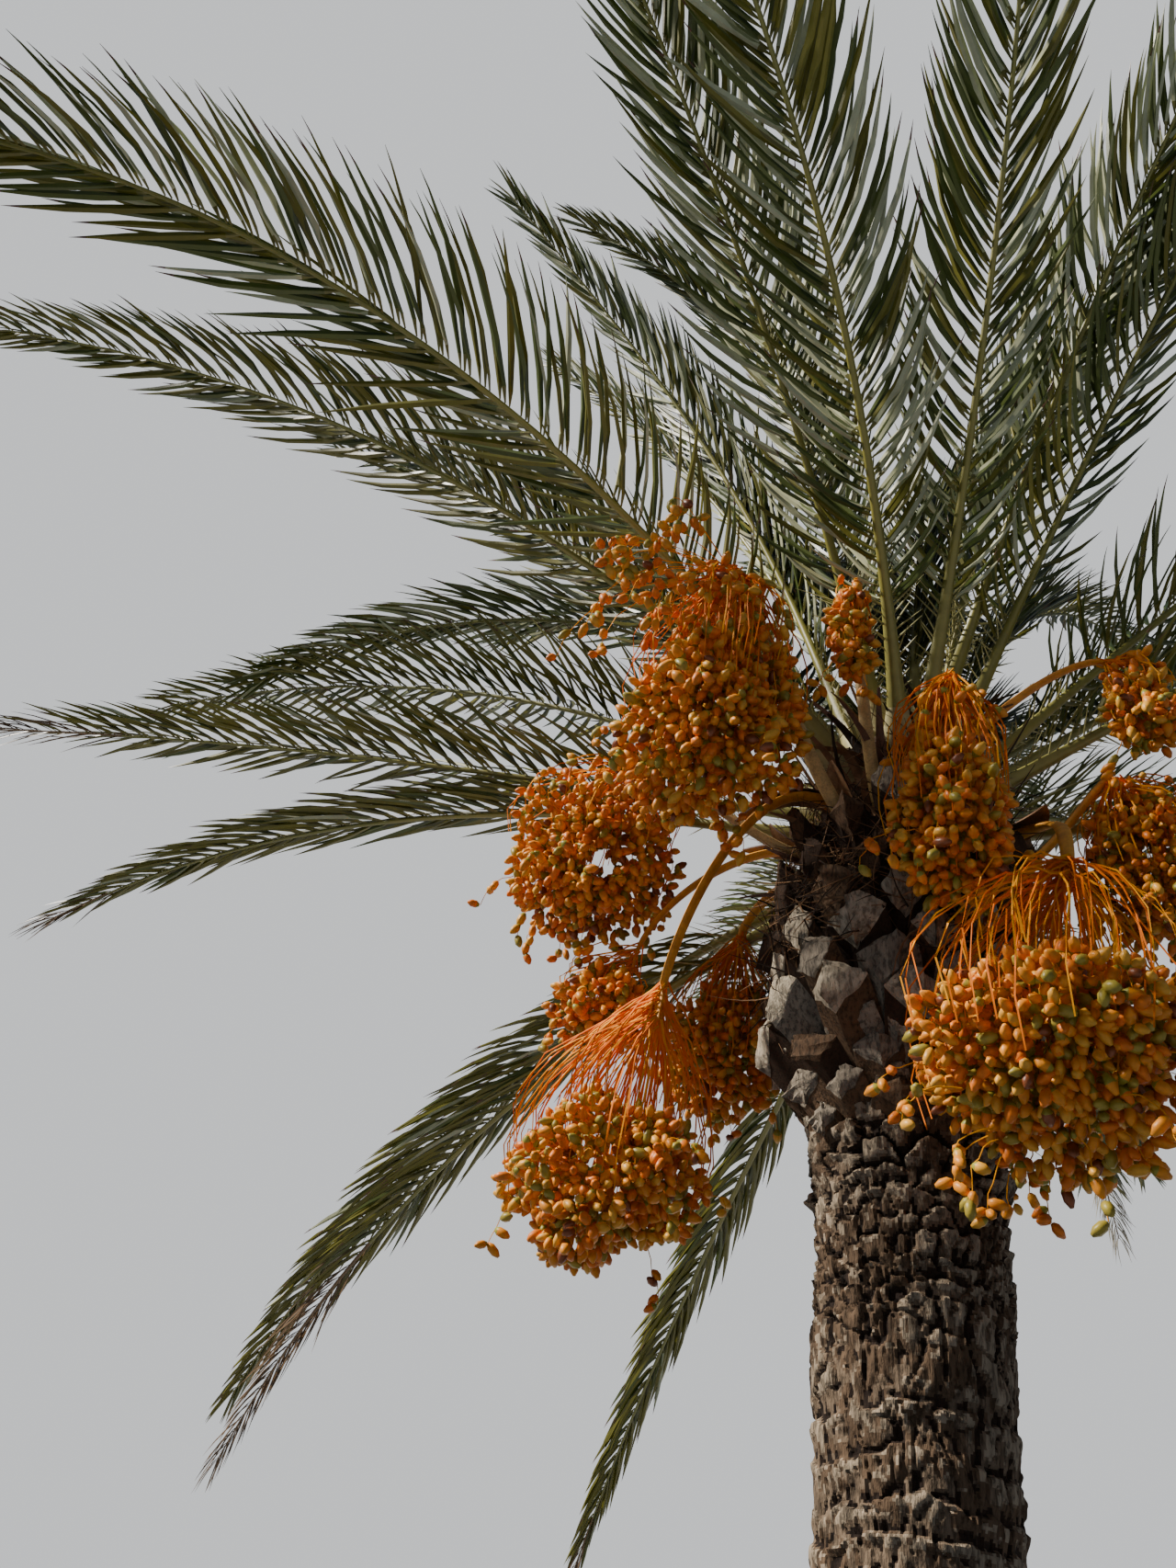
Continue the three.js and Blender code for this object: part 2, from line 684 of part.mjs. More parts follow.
function toMesh(name, body, kind) {
  const geometry = body.geometry();
  geometry.computeVertexNormals();
  const material = new THREE.MeshStandardMaterial({
    color: COLOURS[kind], roughness: ROUGHNESS[kind], metalness: 0,
  });
  const mesh = new THREE.Mesh(geometry, material);
  mesh.name = name;
  return mesh;
}

const palm = new THREE.Group();
const trunk = trunkBody();
space.add("trunk", trunk.triangles());
palm.add(toMesh("trunk", trunk, "trunk"));
for (const bunch of bunches) palm.add(toMesh(bunch.name, bunchBody(bunch), "bunch"));
for (const rib of ribs) palm.add(toMesh(rib.name, frondBody(rib), "frond"));

export default palm;
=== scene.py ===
import math

import bpy
import numpy as np
from mathutils import Matrix, Vector


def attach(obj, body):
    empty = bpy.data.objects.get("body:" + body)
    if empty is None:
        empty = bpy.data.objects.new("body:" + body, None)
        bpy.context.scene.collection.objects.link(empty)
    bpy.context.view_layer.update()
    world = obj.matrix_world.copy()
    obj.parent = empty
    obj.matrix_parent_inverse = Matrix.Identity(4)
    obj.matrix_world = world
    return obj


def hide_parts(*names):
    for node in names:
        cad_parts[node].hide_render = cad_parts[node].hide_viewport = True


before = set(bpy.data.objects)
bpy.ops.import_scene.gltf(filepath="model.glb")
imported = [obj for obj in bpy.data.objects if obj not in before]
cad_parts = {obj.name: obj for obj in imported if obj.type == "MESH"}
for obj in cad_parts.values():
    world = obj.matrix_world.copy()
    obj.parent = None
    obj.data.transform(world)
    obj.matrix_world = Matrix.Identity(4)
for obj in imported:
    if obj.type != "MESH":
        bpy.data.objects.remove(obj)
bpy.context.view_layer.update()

# Trunk, as in the part's source
LEAN = math.radians(3)
FLARE_LOBES = 5
FLARE_DEPTH = 0.05
FLARE_HEIGHT = 0.45
TRUNK_PROFILE = [
    (0, 0.325), (0.11, 0.288), (0.28, 0.250), (0.56, 0.229), (1.0, 0.217), (1.9, 0.212), (2.65, 0.218),
    (2.9, 0.230), (3.03, 0.268), (3.18, 0.280), (3.5, 0.276), (3.72, 0.225), (3.9, 0.190), (4.1, 0.140),
    (4.3, 0.080),
]
HEART_TIP = 4.43

# Cut leaf bases, as in the part's source
BOOTS = 73
BOOT_FOOT = 3.01
BOOT_STEP = 0.0095
BOOT_REACH = 0.362
BOOT_REACH_VARIETY = (-0.014, 0.006)
BOOT_RISE = 48
CUT_RISE = 12
BOOT_HALF_WIDTH = 0.076
BOOT_WIDTH_VARIETY = (0.86, 1)
BOOT_ROOT = (0.034, 0.058)
BOOT_ROOT_FLARE = 1.1
FIRST_SEED = 11
GOLDEN_ANGLE = 137.5

# Fronds, as in the part's source
FROND_LENGTH = 3.3
RIB_STEPS = 66
BEND_POWER = 1.5
BARE_LENGTH = 0.42
LEAFLET_LENGTH = 0.52
LEAFLET_FOLD = 28
LEAFLET_LEAN = (66, 24)
LEAN_POWER = 0.8
LEAFLET_SHORTEST = 0.42
SWELL_POWER = 0.7
RIB_TAPER = [(0, 0.034), (0.1, 0.030), (0.2, 0.026), (0.4, 0.021), (0.8, 0.016), (1.8, 0.010), (3.3, 0.003)]
HEART_PROFILE = [(3.7, 0.250), (3.9, 0.215), (4.1, 0.165), (4.3, 0.105), (4.5, 0.040)]
# Heading, height of the foot, rise at the foot, bend down by the tip and turn sideways by the tip.
# A separate program fitted these rows to the photograph, and they are the same in the source.
SEEN_FRONDS = [
    (-134, 3.98, 33, 95, 9), (-153, 4.03, 39, 46, -6), (-178, 4.10, 54, 24, -6), (154, 4.10, 65, 110, 34),
    (163, 4.03, 40, 49, 16), (168, 3.97, 20, 27, 27), (171, 3.89, 18, 37, -4),
    (153, 3.73, -14, 26, -19), (147, 3.80, -6, 38, -6), (111, 3.74, -14, 36, 13),
    (-110, 4.12, 55, 57, -1), (-92, 4.06, 45, 48, -26), (-69, 4.10, 52, 48, -25),
    (-45, 4.19, 59, 36, -15), (-32, 4.09, 59, 32, -26),
    (-175, 4.18, 77, 41, 38), (160, 4.26, 74, 26, 24), (-149, 4.32, 89, 57, -15),
    (-8, 4.04, 41, 29, -17), (-14, 3.94, 24, 38, -12), (17, 4.03, 42, 30, -14), (17, 3.89, 16, 32, -18),
    (68, 3.88, 15, 38, 8), (-5, 4.26, 79, 50, -10), (140, 4.19, 64, 50, 10),
]
FAR_FRONDS = 11
FAR_HEADING = 35
FAR_SPREAD = 80
FAR_START = 0.3
FAR_TURN = 0.618034
FAR_TOP = 4.3
FAR_DROP = 0.035
FAR_RISE = 84
FAR_RISE_STEP = 6
FAR_BEND = 50
FAR_SIDEWAYS = 10

# Fruit, as in the part's source
STALK_HALF_WIDTH = (0.024, 0.015)
STALK_FLATNESS = 0.45
STALK_REACH = 0.4
STALK_ARCH = 0.3
# Heading, height and rise of the stalk's foot; the head; the ball of fruit's centre and half sizes.
# A separate program searched for the feet, and the rest was set by hand.
BUNCHES = [
    ((-123, 3.72, 10), (-0.245, -0.730, 4.240), (-0.310, -0.670, 3.760), (0.240, 0.290)),
    ((-165, 3.72, 10), (-0.640, -0.140, 4.050), (-0.760, -0.010, 3.800), (0.270, 0.225)),
    ((-70, 3.74, 30), (0.320, -0.610, 3.900), (0.280, -0.540, 3.490), (0.165, 0.250)),
    ((-21, 3.74, 10), (0.530, -0.560, 3.270), (0.420, -0.550, 2.840), (0.305, 0.250)),
    ((5, 3.70, 10), (0.810, -0.110, 3.940), (0.910, 0.070, 3.740), (0.200, 0.255)),
    ((-138, 3.82, 30), (-0.475, -0.175, 3.140), (-0.630, 0.060, 2.810), (0.260, 0.230)),
    ((171, 3.72, 30), (-0.300, 0.190, 3.600), (-0.355, 0.405, 3.365), (0.180, 0.215)),
    ((-104, 3.74, 30), (0.090, -0.560, 4.330), (0.070, -0.600, 4.110), (0.060, 0.190)),
    ((176, 3.80, 30), (-0.600, 0.060, 3.440), (-0.690, 0.090, 3.330), (0.150, 0.105)),
    ((-59, 3.92, 30), (0.800, -0.370, 4.130), (0.840, -0.390, 3.960), (0.095, 0.140)),
    ((75, 3.72, 30), (0.300, 0.700, 3.650), (0.330, 0.800, 3.300), (0.200, 0.230)),
    ((41, 3.74, 30), (0.740, 0.470, 3.700), (0.780, 0.500, 3.400), (0.185, 0.210)),
    ((120, 3.86, 30), (-0.080, 0.560, 3.980), (-0.100, 0.600, 3.790), (0.120, 0.135)),
]
LOOSE_SPRAY = [
    (-0.505, -0.960, 4.030), (-0.430, -0.930, 3.930), (-0.390, -1.010, 4.120), (-0.540, -0.880, 4.140),
]

# Bark: columns and rows of the mesh, the tops of its bands of relief, and how strong that is
BARK_TOP = 3.06
BARK_COLUMNS = 226
BARK_ROW = 0.0058
LOW_ROW = 0.0140
LOW_HEIGHT = 1.75
GIRTH = 1.36
LEDGES_TOP = 2.27
LONG_TOP = 2.44
BLOCKY_TOP = 2.74
LIPS_TOP = 3.5
UNDERGROUND = -1
RELIEF_SCALE = 1.15
RING_SPACING = 0.078
FLAT_FOOT = 0.03
# The stem inside the crown
CROWN_FOOT = 3.0
CROWN_COLUMNS = 72
CROWN_ROWS = 70
CROWN_SUNK = 0.008
CROWN_ROUGHNESS = 0.022
CROWN_THINNEST = 0.004
CROWN_TIP_RADIUS = 0.012
CROWN_FADE = 0.2
# Layers of noise: cells to a turn, their height, and their weight or how far they shift the layout
TURN_WANDER = [(14, 0.10, 0.030), (50, 0.03, 0.010)]
HEIGHT_WANDER = [(12, 0.11, 0.055), (45, 0.035, 0.022)]
RING_WAVES = [(9, 0.25, 0.030), (22, 0.08, 0.014)]
BARK_ROUGHNESS = [(115, 0.022, 1), (60, 0.05, 0.6)]
BARK_PATCHES = [(17, 0.09, 0.7), (110, 0.014, 0.6)]
CROWN_LUMPS = [(30, 0.05, 1), (60, 0.02, 0.6)]
ROUGHNESS_LEVEL = 0.8
ROUGHNESS_DEPTH = 0.006
FINE_CRACKS = (84, 0.075, 0.09)
FINE_CRACK_DEPTH = 0.006
PLATE_JITTER = 0.32
# Where the bark is grey, pale or dark: grey by its patches; pale, partly a painted highlight, on pale patches
# that stand above their surroundings; dark, painted shade, where it sinks below its surroundings
GREY_PATCH = 0.62
PALE_PATCH = 0.55
HIGHLIGHT_STANDING = 0.0022
CREVICE_SHADE_STANDING = -0.0030
STANDING_REACH = 5

# Leaf bases: half heights of the face above and below its middle, and how stumps and faces vary
BOOT_FACE = (0.056, 0.088)
BOOT_FACE_FLARE = 1.15
FACE_FLARE_VARIETY = (0.82, 1.12)
FACE_TURN = 10
FACE_DROP = 34
FACE_ROUGHNESS = 0.003
RIDGE_ASIDE = 0.35
RIDGE_HEIGHT = (0.004, 0.050)
RIDGE_FLATNESS = 0.8
BOOT_ROUGHNESS = 0.0016
BOOT_EDGE_POINTS = 6
BOOT_BULGE = (-0.04, 0.08)
BOOT_GROOVES = 0.03
BOOT_SKEW = 0.25
STUMP_PLACES = (0, 0.4, 0.65, 0.85, 0.97)
FACE_PLACES = (0.07, 0.35, 0.65, 0.97)
# Distance that faces keep from the first part of each rib, in metres, and of each stalk, as a share of it
BOOT_CLEARANCE = 0.05
RIB_FOOT_LENGTH = 0.22
STALK_FOOT_SHARE = 0.3
# From which height, and over how much of it, leaf bases get narrower and their faces darker
NARROW_FROM = 3.2
NARROW_OVER = 0.3
NARROWEST = 0.64
DARK_FACES_FROM = 3.22
DARK_FACES_OVER = 0.2
# Shares of grey, brown, dark and, on faces, freshly cut: low down, high up and on the young ones
LOW_STUMPS = np.array([0.3, 0.45, 0.25])
HIGH_STUMPS = np.array([0.05, 0.45, 0.5])
LOW_FACES = np.array([0.30, 0.12, 0.0, 0.58])
HIGH_FACES = np.array([0.14, 0.42, 0.38, 0.06])
YOUNG_FACES = np.array([0.08, 0.44, 0.44, 0.04])

# Worn leaf bases below the source's, with the tones of their faces, and young ones above them
WORN_BOOTS = 36
WORN_FOOT = 2.84
WORN_STEP = 0.0065
WORN_TURN = 25
WORN_REACH = (0.012, 0.07)
WORN_REACH_VARIETY = 0.02
WORN_WIDTH = (0.05, 0.075)
WORN_DEPTH = 0.6
WORN_FACES = [0, 1, 3]
YOUNG_BOOTS = 44
YOUNG_FOOT = 3.56
YOUNG_STEP = 0.0118
YOUNG_TURN = 62
YOUNG_REACH = (0.04, 0.10)
YOUNG_WIDTH = (0.036, 0.060)
YOUNG_DEPTH = 0.55

# Fibres and dry sheaths round the crown
FIBRES = 2000
FIBRE_HEIGHTS = (3.14, 3.60, 4.22)
FIBRE_OUT = (0.03, 0.105)
FIBRE_LENGTH = (0.05, 0.19)
FIBRE_CURL = (0.2, 1.3)
FIBRE_BEND = 0.6
FIBRE_VARIETY = (0.5, 1.4)
FIBRE_LEVEL_SPREAD = 1
FIBRE_UP_SPREAD = 0.8
FIBRE_OUTWARD = (0.25, 0.35)
FIBRE_RADII = np.array([0.0024, 0.0022, 0.0018, 0.0013, 0.0005])
FIBRE_REFERENCE = np.array([0.3, 0.4, 0.87])
STRIPS = 110
STRIP_HEIGHTS = (3.62, 4.15)
STRIP_RISE = (15, 75)
STRIP_SUNK = 0.012
STRIP_LENGTH = (0.10, 0.34)
STRIP_CURL = 0.25
STRIP_DROOP = -0.15
STRIP_WIDTH = (0.006, 0.022)
STRIP_FLATNESS = 0.12
STRIP_POINTS = 7
STRIP_SHARES = [0.2, 0.3, 0.3, 0.2]

# Leaflets
# Share of the source's lean against the frond's rise at its foot
LEAN_BY_RISE = [(-14, 0.5), (18, 0.72), (26, 0.9), (35, 1), (60, 0.7), (90, 0.5)]
LEAFLETS = 122
CLUSTER = 3
CLUSTER_PULL = 0.3
CLUSTER_FAN = np.array([-18.0, 3.0, 17.0])
LEAFLET_HALF_WIDTH = 0.0126
LEAFLET_THICKNESS = 0.0005
LEAN_AT_FOOT = 5
FORWARD_CURVE = (0.05, 0.5)
FORWARD_BY_RISE = [(-14, 1.5), (18, 1.2), (26, 0.7), (36, 0.25), (50, 0.75), (80, 0.7)]
SWEPT_FRONDS = {1: 0.15, 2: 1.0, 6: 0.5, 7: 2.2, 10: 2.0}
UNDERSWEEP = 0.25
NARROW_FRONDS = {7: 0.72, 8: 0.9, 10: 0.85}
BLADE_TWIST = 14
TWISTED_FRONDS = {1: 50, 2: 32}
NARROW_BY_RISE = [(-14, 0.82), (24, 0.94), (40, 1)]
LEAFLET_STATIONS = np.array([0, 0.09, 0.34, 0.66, 0.90, 1.0])
LEAFLET_WIDTHS = np.array([0.34, 0.80, 1.0, 0.80, 0.30, 0.03])
LEAFLET_VALLEYS = np.array([62, 44, 32, 30, 38, 50])
# How leaflets vary from one to the next, and what is different about dead ones
PLACE_SPREAD = 0.08
LAST_LEAFLET = 0.995
LEAN_SPREAD = 3
CLUSTER_LEAN = 3
FOLD_SPREAD = 5
TWIST_SPREAD = 14
LENGTH_VARIETY = (0.88, 1.03)
WIDTH_VARIETY = (0.85, 1.12)
USUAL_LENGTH = 0.48
LEAFLET_SEAT = 0.6
DROOP = (0.04, 0.30)
SWAY = 0.14
BEND_GROWTH = 1.4
BROWN_TIPS = 0.55
DEAD_DROOP = (0.1, 0.5)
DEAD_SWAY = 0.25
DEAD_WIDTH = 0.6
DEAD_CLOSING = 0.5

# Ribs and spines
RIB_SIDES = 10
RIB_OVER = 0.5
RIB_UNDER = 0.85
RIB_SLIMMEST = 0.78
RIB_SLIM_LENGTH = 0.8
RIB_FOOT_FLARE = 0.026
RIB_FLARE_END = 0.16
RIB_FLARE_LENGTH = 0.2
RIB_TONE_ENDS = [0.14, 0.5, 1.7]
SPINES = 13
SPINE_PLACES = (0.13, 0.46)
SPINE_PLACE_SPREAD = 0.006
SPINE_LEAN = (50, 8)
SPINE_FOLD = (18, 16)
SPINE_LENGTHS = (0.025, 0.15)
SPINE_GROWTH = 1.3
SPINE_GROWTH_LENGTH = 0.33
SPINE_VARIETY = (0.8, 1.15)
SPINE_SEAT = 0.85
SPINE_SHARES = np.array([0, 0.55, 1.0])
SPINE_RADII = np.array([0.0032, 0.0020, 0.0003])

# Dates and strands
DATE_LENGTH = 0.043
DATE_WIDTH = 0.0255
DATE_SIDES = 6
DATE_STATIONS = np.array([-0.95, -0.45, 0.35, 0.97])
DATE_RADII = np.array([0.42, 0.95, 0.95, 0.34])
INNER_STATIONS = np.array([-0.95, 0.0, 0.95])
INNER_RADII = np.array([0.45, 1.0, 0.35])
INNER_SIDES = 5
DATES_PER_AREA = 860
INNER_SHARE = 0.65
DATES_PER_NODE = 4
LUMPINESS = 0.14
LUMP_WAVES = 6
LUMP_PITCH = 3.4
LUMP_LEVEL = 2.5
HOLLOWS = 1.7
BULGES = 0.8
NODE_SPACING = 0.034
DATE_SPACING = 0.0215
DATE_SIZES = (0.84, 1.1)
DATE_STRETCH = (0.9, 1.08)
DATE_SHARES = [0.40, 0.22, 0.24, 0.10, 0.04]
GREENISH_CALYX = 0.55
DATE_SCATTER = 0.9
DATE_PULL = 0.6
LOOSE_DATE_PULL = 0.7
DATE_HANG = 0.5
# Dates of a ball in clusters round nodes: the node's direction, the fan of its dates and their seat
NODE_OUTWARD = 0.8
NODE_PULL = 0.4
NODE_SPREAD = 0.2
FAN_SPREAD = 0.6
NODE_DEPTH = 0.012
FAN_HANG = 0.55
# How deep in the ball its outer and inner dates lie, and the short strands that drop out of it
OUTER_DEPTHS = (0.80, 0.97)
INNER_DEPTHS = (0.35, 0.78)
DROPPERS_PER_SIZE = 55
DROPPER_DATES = 4
DROPPER_RISE = (-0.95, 0.1)
DROPPER_START = 0.75
DROPPER_ASIDE = 0.07
DROPPER_FALL = (0.01, 0.12)
# Strands: how many to a ball of a size, with more for a head that stands off it, and their mesh
STRANDS_PER_SIZE = 260
STRANDS_AT_LEAST = 0.7
STRANDS_BY_GAP = 7
STRAND_POINTS = 8
STRAND_RADIUS = (0.0030, 0.0017)
STRAND_REFERENCE = np.array([0.31, 0.2, 0.93])
STRAND_JITTER = 0.004
# Where strands leave the stalk, which way and how deep they run into the ball, and how their curves arch
STRAND_FEET = (0.88, 1.0)
STRAND_FOOT_SPREAD = 0.006
STRAND_RISE = (-0.5, 0.9)
SHALLOW_STRANDS = 0.4
SHALLOW_DEPTHS = (0.92, 1.02)
DEEP_DEPTHS = (0.3, 0.9)
STRAND_LEVELLING = np.array([1, 1, 0.25])
STRAND_ONWARD = 0.16
STRAND_ASIDE = 0.24
STRAND_LIFT = 0.12
STRAND_ARCH = 0.42
STRAND_ENTRY = 0.35
STRAND_VARIETY = (0.8, 1.2)
# Loose strands: the handles of their curves, and the dates along them
LOOSE_FORWARD = np.array([0.5, 0.5, 0.1])
LOOSE_LIFT = 0.1
LOOSE_FALL = 0.35
LOOSE_RADIUS = (0.0018, 0.0010)
LOOSE_JITTER = 0.003
LOOSE_DATES_FROM = 0.45
LOOSE_SPACING = 0.8
SPRAY_REPEATS = 3
SPRAY_SPREAD = 0.03
SPRAY_DATES = 6
# Stalks: their mesh, how far they start inside the stem, how slim they are for small bunches, and their taper
STALK_POINTS = 30
STALK_SIDES = 10
STALK_SUNK = 0.05
STALK_SLIMMEST = 0.72
LARGE_BUNCH = 0.25
STALK_END_TAPER = 0.45
STALK_TAPERS_FROM = 0.85
STALK_TAPER_LENGTH = 0.15
# Ends of a few more loose strands of the first bunch, lower than the source's spray
LOW_SPRAY = [
    (-0.683, -0.844, 3.845), (-0.569, -0.823, 3.856), (-0.622, -0.918, 3.948), (-0.541, -0.887, 3.939),
]

# Dry bracts at the stalks' feet
SPATHE_START = 0.02
SPATHE_END = (0.22, 0.38)
SPATHE_RINGS = 10
SPATHE_HALF_WIDTH = 0.042
SPATHE_POINTS = 7
SPATHE_HALF_THICKNESS = 0.0018
SPATHE_CUP = -0.55
# Which part of a sine wave gives their outline, and how full it is
SPATHE_FOOT = 0.22
SPATHE_RUN = 0.76
SPATHE_FULLNESS = 0.8
# How far they stand off the stalk, at its foot and more towards their tips, and to one side
SPATHE_LIFT = 0.022
SPATHE_RISE = 0.03
SPATHE_ASIDE = 0.03

# Dents in the balls of fruit, each with its direction and how far out the ball reaches there
DENTS = {
    1: [((-0.75, -0.3, 0.6), 0.86)],
    2: [((0.5, -0.3, -0.8), 0.90)],
    3: [((-1.0, 0.0, 0.0), 0.82), ((1.0, 0.2, 0.1), 0.84)],
    4: [((-0.45, -0.35, -0.80), 0.64), ((0.2, -0.2, 0.95), 0.84)],
    6: [((-0.6, -0.2, 0.78), 0.80)],
}
# A dent spreads from its direction as far as these cosines say
DENT_FROM = 0.25
DENT_OVER = 0.6
# Openings right through them, as a point and a direction on the opening's axis, and its half width
OPENINGS = {2: ((-0.71, -0.01, 3.79), (-0.19, 0.78, 0.59), 0.052)}

# Dates on the strands over a ball's shoulder, by bunch, and where on the strands they sit
SHOULDER_DATES = {1: 320, 2: 50, 3: 60, 5: 70, 8: 50, 9: 20, 10: 40}
SHOULDER_REACH = (0.25, 0.85)

# Camera and light
CAMERA_PLACE = (0, -2.9, 1.6)
CAMERA_HEADING = math.radians(15.3)
CAMERA_PITCH = math.radians(40)
CAMERA_ROLL = math.radians(7.5)
CAMERA_LENS = 27.05
SENSOR_WIDTH = 36
VIEW_DISTANCE = 200
SUN_ENERGY = 7.5
SUN_TOWARD = (-0.94, -0.35, 0.90)
SUN_WIDTH = math.radians(4)
SUN_COLOUR = (1.0, 0.94, 0.85)
FILL_COLOUR = (0.72, 0.83, 1.0, 1)
FILL_STRENGTH = 0.20
BACKDROP_COLOUR = (0.86, 0.88, 0.90, 1)
BACKDROP_STRENGTH = 0.9
FLOOR_HALF_WIDTH = 60
UPWARD = np.array([0, 0, 1.0])


def unit(v):
    return v / np.maximum(np.linalg.norm(v, axis=-1, keepdims=True), 1e-12)


def mix(a, b, share):
    return a + (b - a) * share


def ease(x):
    x = np.clip(x, 0, 1)
    return x * x * (3 - 2 * x)


def along(rows, key):
    keys, values = zip(*rows)
    return np.interp(key, keys, values)


def outward(heading):
    h = np.radians(heading)
    return np.stack([np.cos(h), np.sin(h), np.zeros_like(h)], -1)


def axis_point(height):
    height = np.asarray(height, float)
    return np.stack([math.tan(LEAN) * height, np.zeros_like(height), height], -1)


def on_stem(height, heading, profile, out=0):
    """Points at a profile's radius round the trunk's axis, or so far outside it"""
    return axis_point(height) + outward(heading) * (along(profile, height) + out)[..., None]


def facing(heading, rise):
    """Forward, right-hand and upper directions"""
    heading, rise = np.broadcast_arrays(np.asarray(heading, float), np.asarray(rise, float))
    out = outward(heading)
    r = np.radians(rise)[..., None]
    forward = out * np.cos(r) + UPWARD * np.sin(r)
    side = np.stack([out[..., 1], -out[..., 0], np.zeros_like(heading)], -1)
    return forward, side, np.cross(side, forward)


def turned(v, about, angle):
    """Turns vectors about unit vectors at right angles to them, by angles in radians"""
    a = np.asarray(angle)[..., None]
    return v * np.cos(a) + np.cross(about, v) * np.sin(a)


def sweep(path, reference):
    """Side and upper directions along paths, with the upper one near a reference"""
    tangent = unit(np.gradient(path, axis=-2))
    side = unit(np.cross(tangent, np.broadcast_to(reference, tangent.shape)))
    return side, np.cross(side, tangent)


def tube(path, reference, half_width, sides, flatness=1):
    """Rings round paths, whose half heights are the half widths times the flatness"""
    side, up = sweep(path, reference)
    angle = np.arange(sides) * 2 * math.pi / sides
    half_width = np.asarray(half_width)[..., None]
    across = np.cos(angle) * half_width
    rise = np.sin(angle) * (half_width * flatness)
    return path[..., None, :] + across[..., None] * side[..., None, :] + rise[..., None] * up[..., None, :]


def bezier(a, b, c, d, share):
    """Points on cubic curves; the corners are n x 3 and share lists the places along"""
    s = np.asarray(share)[:, None]
    a, b, c, d = (np.asarray(p)[..., None, :] for p in (a, b, c, d))
    return a * (1 - s) ** 3 + b * 3 * s * (1 - s) ** 2 + c * 3 * s * s * (1 - s) + d * s ** 3


def on_line(line, stations, distance):
    """Places on a line of points that stand at the given stations along it"""
    return np.stack([np.interp(distance, stations, line[:, k]) for k in range(3)], -1)


def random_directions(rng, count):
    return unit(rng.normal(size=(count, 3)))


def curled(start, way, curl, length, share, strength=1):
    """Paths that leave their starts along a way and bend off it more and more"""
    path = start[:, None] + way[:, None] * (length[:, None] * share)[..., None]
    return path + curl[:, None] * (length[:, None] * share ** 2 * strength)[..., None]


class Kind:
    """Closed shapes of one kind, joined into one piece"""

    def __init__(self, name, tones):
        self.name = name
        self.tones = tones
        self.points = []
        self.faces = []
        self.face_tones = []
        self.count = 0

    def add(self, rings, tones=0):
        """Rings are shapes x rings x corners x 3, each turning from the right-hand side to the upper side;
        tones broadcast to shapes x segments x corners"""
        shapes, stations, corners = rings.shape[:3]
        index = self.count + np.arange(shapes * stations * corners).reshape(shapes, stations, corners)
        self.points.append(rings.reshape(-1, 3))
        self.count += index.size
        a, b = index[:, :-1], index[:, 1:]
        quads = np.stack([a, b, np.roll(b, -1, 2), np.roll(a, -1, 2)], -1)
        tones = np.broadcast_to(tones, quads.shape[:3])
        for faces, tone in (
            (quads.reshape(-1, 4), tones.ravel()),
            (index[:, 0], tones[:, 0, 0]),
            (index[:, -1, ::-1], tones[:, -1, 0]),
        ):
            self.faces.append(faces)
            self.face_tones.append(tone)

    def build(self, replaced=(), crease=40):
        mesh = bpy.data.meshes.new(self.name)
        points = np.concatenate(self.points).astype(np.float32)
        corners = np.concatenate([faces.ravel() for faces in self.faces])
        sizes = np.concatenate([np.full(len(faces), faces.shape[1]) for faces in self.faces])
        mesh.vertices.add(len(points))
        mesh.vertices.foreach_set("co", points.ravel())
        mesh.loops.add(len(corners))
        mesh.loops.foreach_set("vertex_index", corners.astype(np.int32))
        mesh.polygons.add(len(sizes))
        starts = np.concatenate([[0], np.cumsum(sizes)[:-1]])
        mesh.polygons.foreach_set("loop_start", starts.astype(np.int32))
        mesh.polygons.foreach_set("material_index", np.concatenate(self.face_tones).astype(np.int32))
        mesh.polygons.foreach_set("use_smooth", np.ones(len(sizes), bool))
        for tone in self.tones:
            mesh.materials.append(bpy.data.materials[tone])
        mesh.update(calc_edges=True)
        mesh.validate()
        mesh.set_sharp_from_angle(angle=math.radians(crease))
        piece = bpy.data.objects.new(self.name, mesh)
        bpy.context.scene.collection.objects.link(piece)
        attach(piece, "root")
        if replaced:
            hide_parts(*replaced)


# Materials
def linear(colour):
    """A base colour from its everyday red, green and blue out of 255"""
    share = np.array(colour) / 255
    return (*np.where(share <= 0.04045, share / 12.92, ((share + 0.055) / 1.055) ** 2.4), 1)


MOTTLE_DETAIL = 5
GRAIN_DETAIL = 3
THREAD_DETAIL = 4
THREAD_WIDTH = 1.8
THREAD_BAND = (0.40, 0.52)
NOISE_ROUGHNESS = 0.6


def scaled(colour, factor):
    return (*(min(1, c * factor) for c in colour[:3]), 1)


def noise(nodes, links, vector, size, detail):
    texture = nodes.new("ShaderNodeTexNoise")
    texture.inputs["Scale"].default_value = 1 / size
    texture.inputs["Detail"].default_value = detail
    texture.inputs["Roughness"].default_value = NOISE_ROUGHNESS
    links.new(vector, texture.inputs["Vector"])
    return texture.outputs["Fac"]


def ramp(nodes, links, value, low, high, places=(0.3, 0.7)):
    """Colours from low to high as a value runs between two places"""
    band = nodes.new("ShaderNodeValToRGB")
    for element, place, colour in zip(band.color_ramp.elements, places, (low, high)):
        element.position = place
        element.color = colour
    links.new(value, band.inputs["Fac"])
    return band.outputs["Color"]


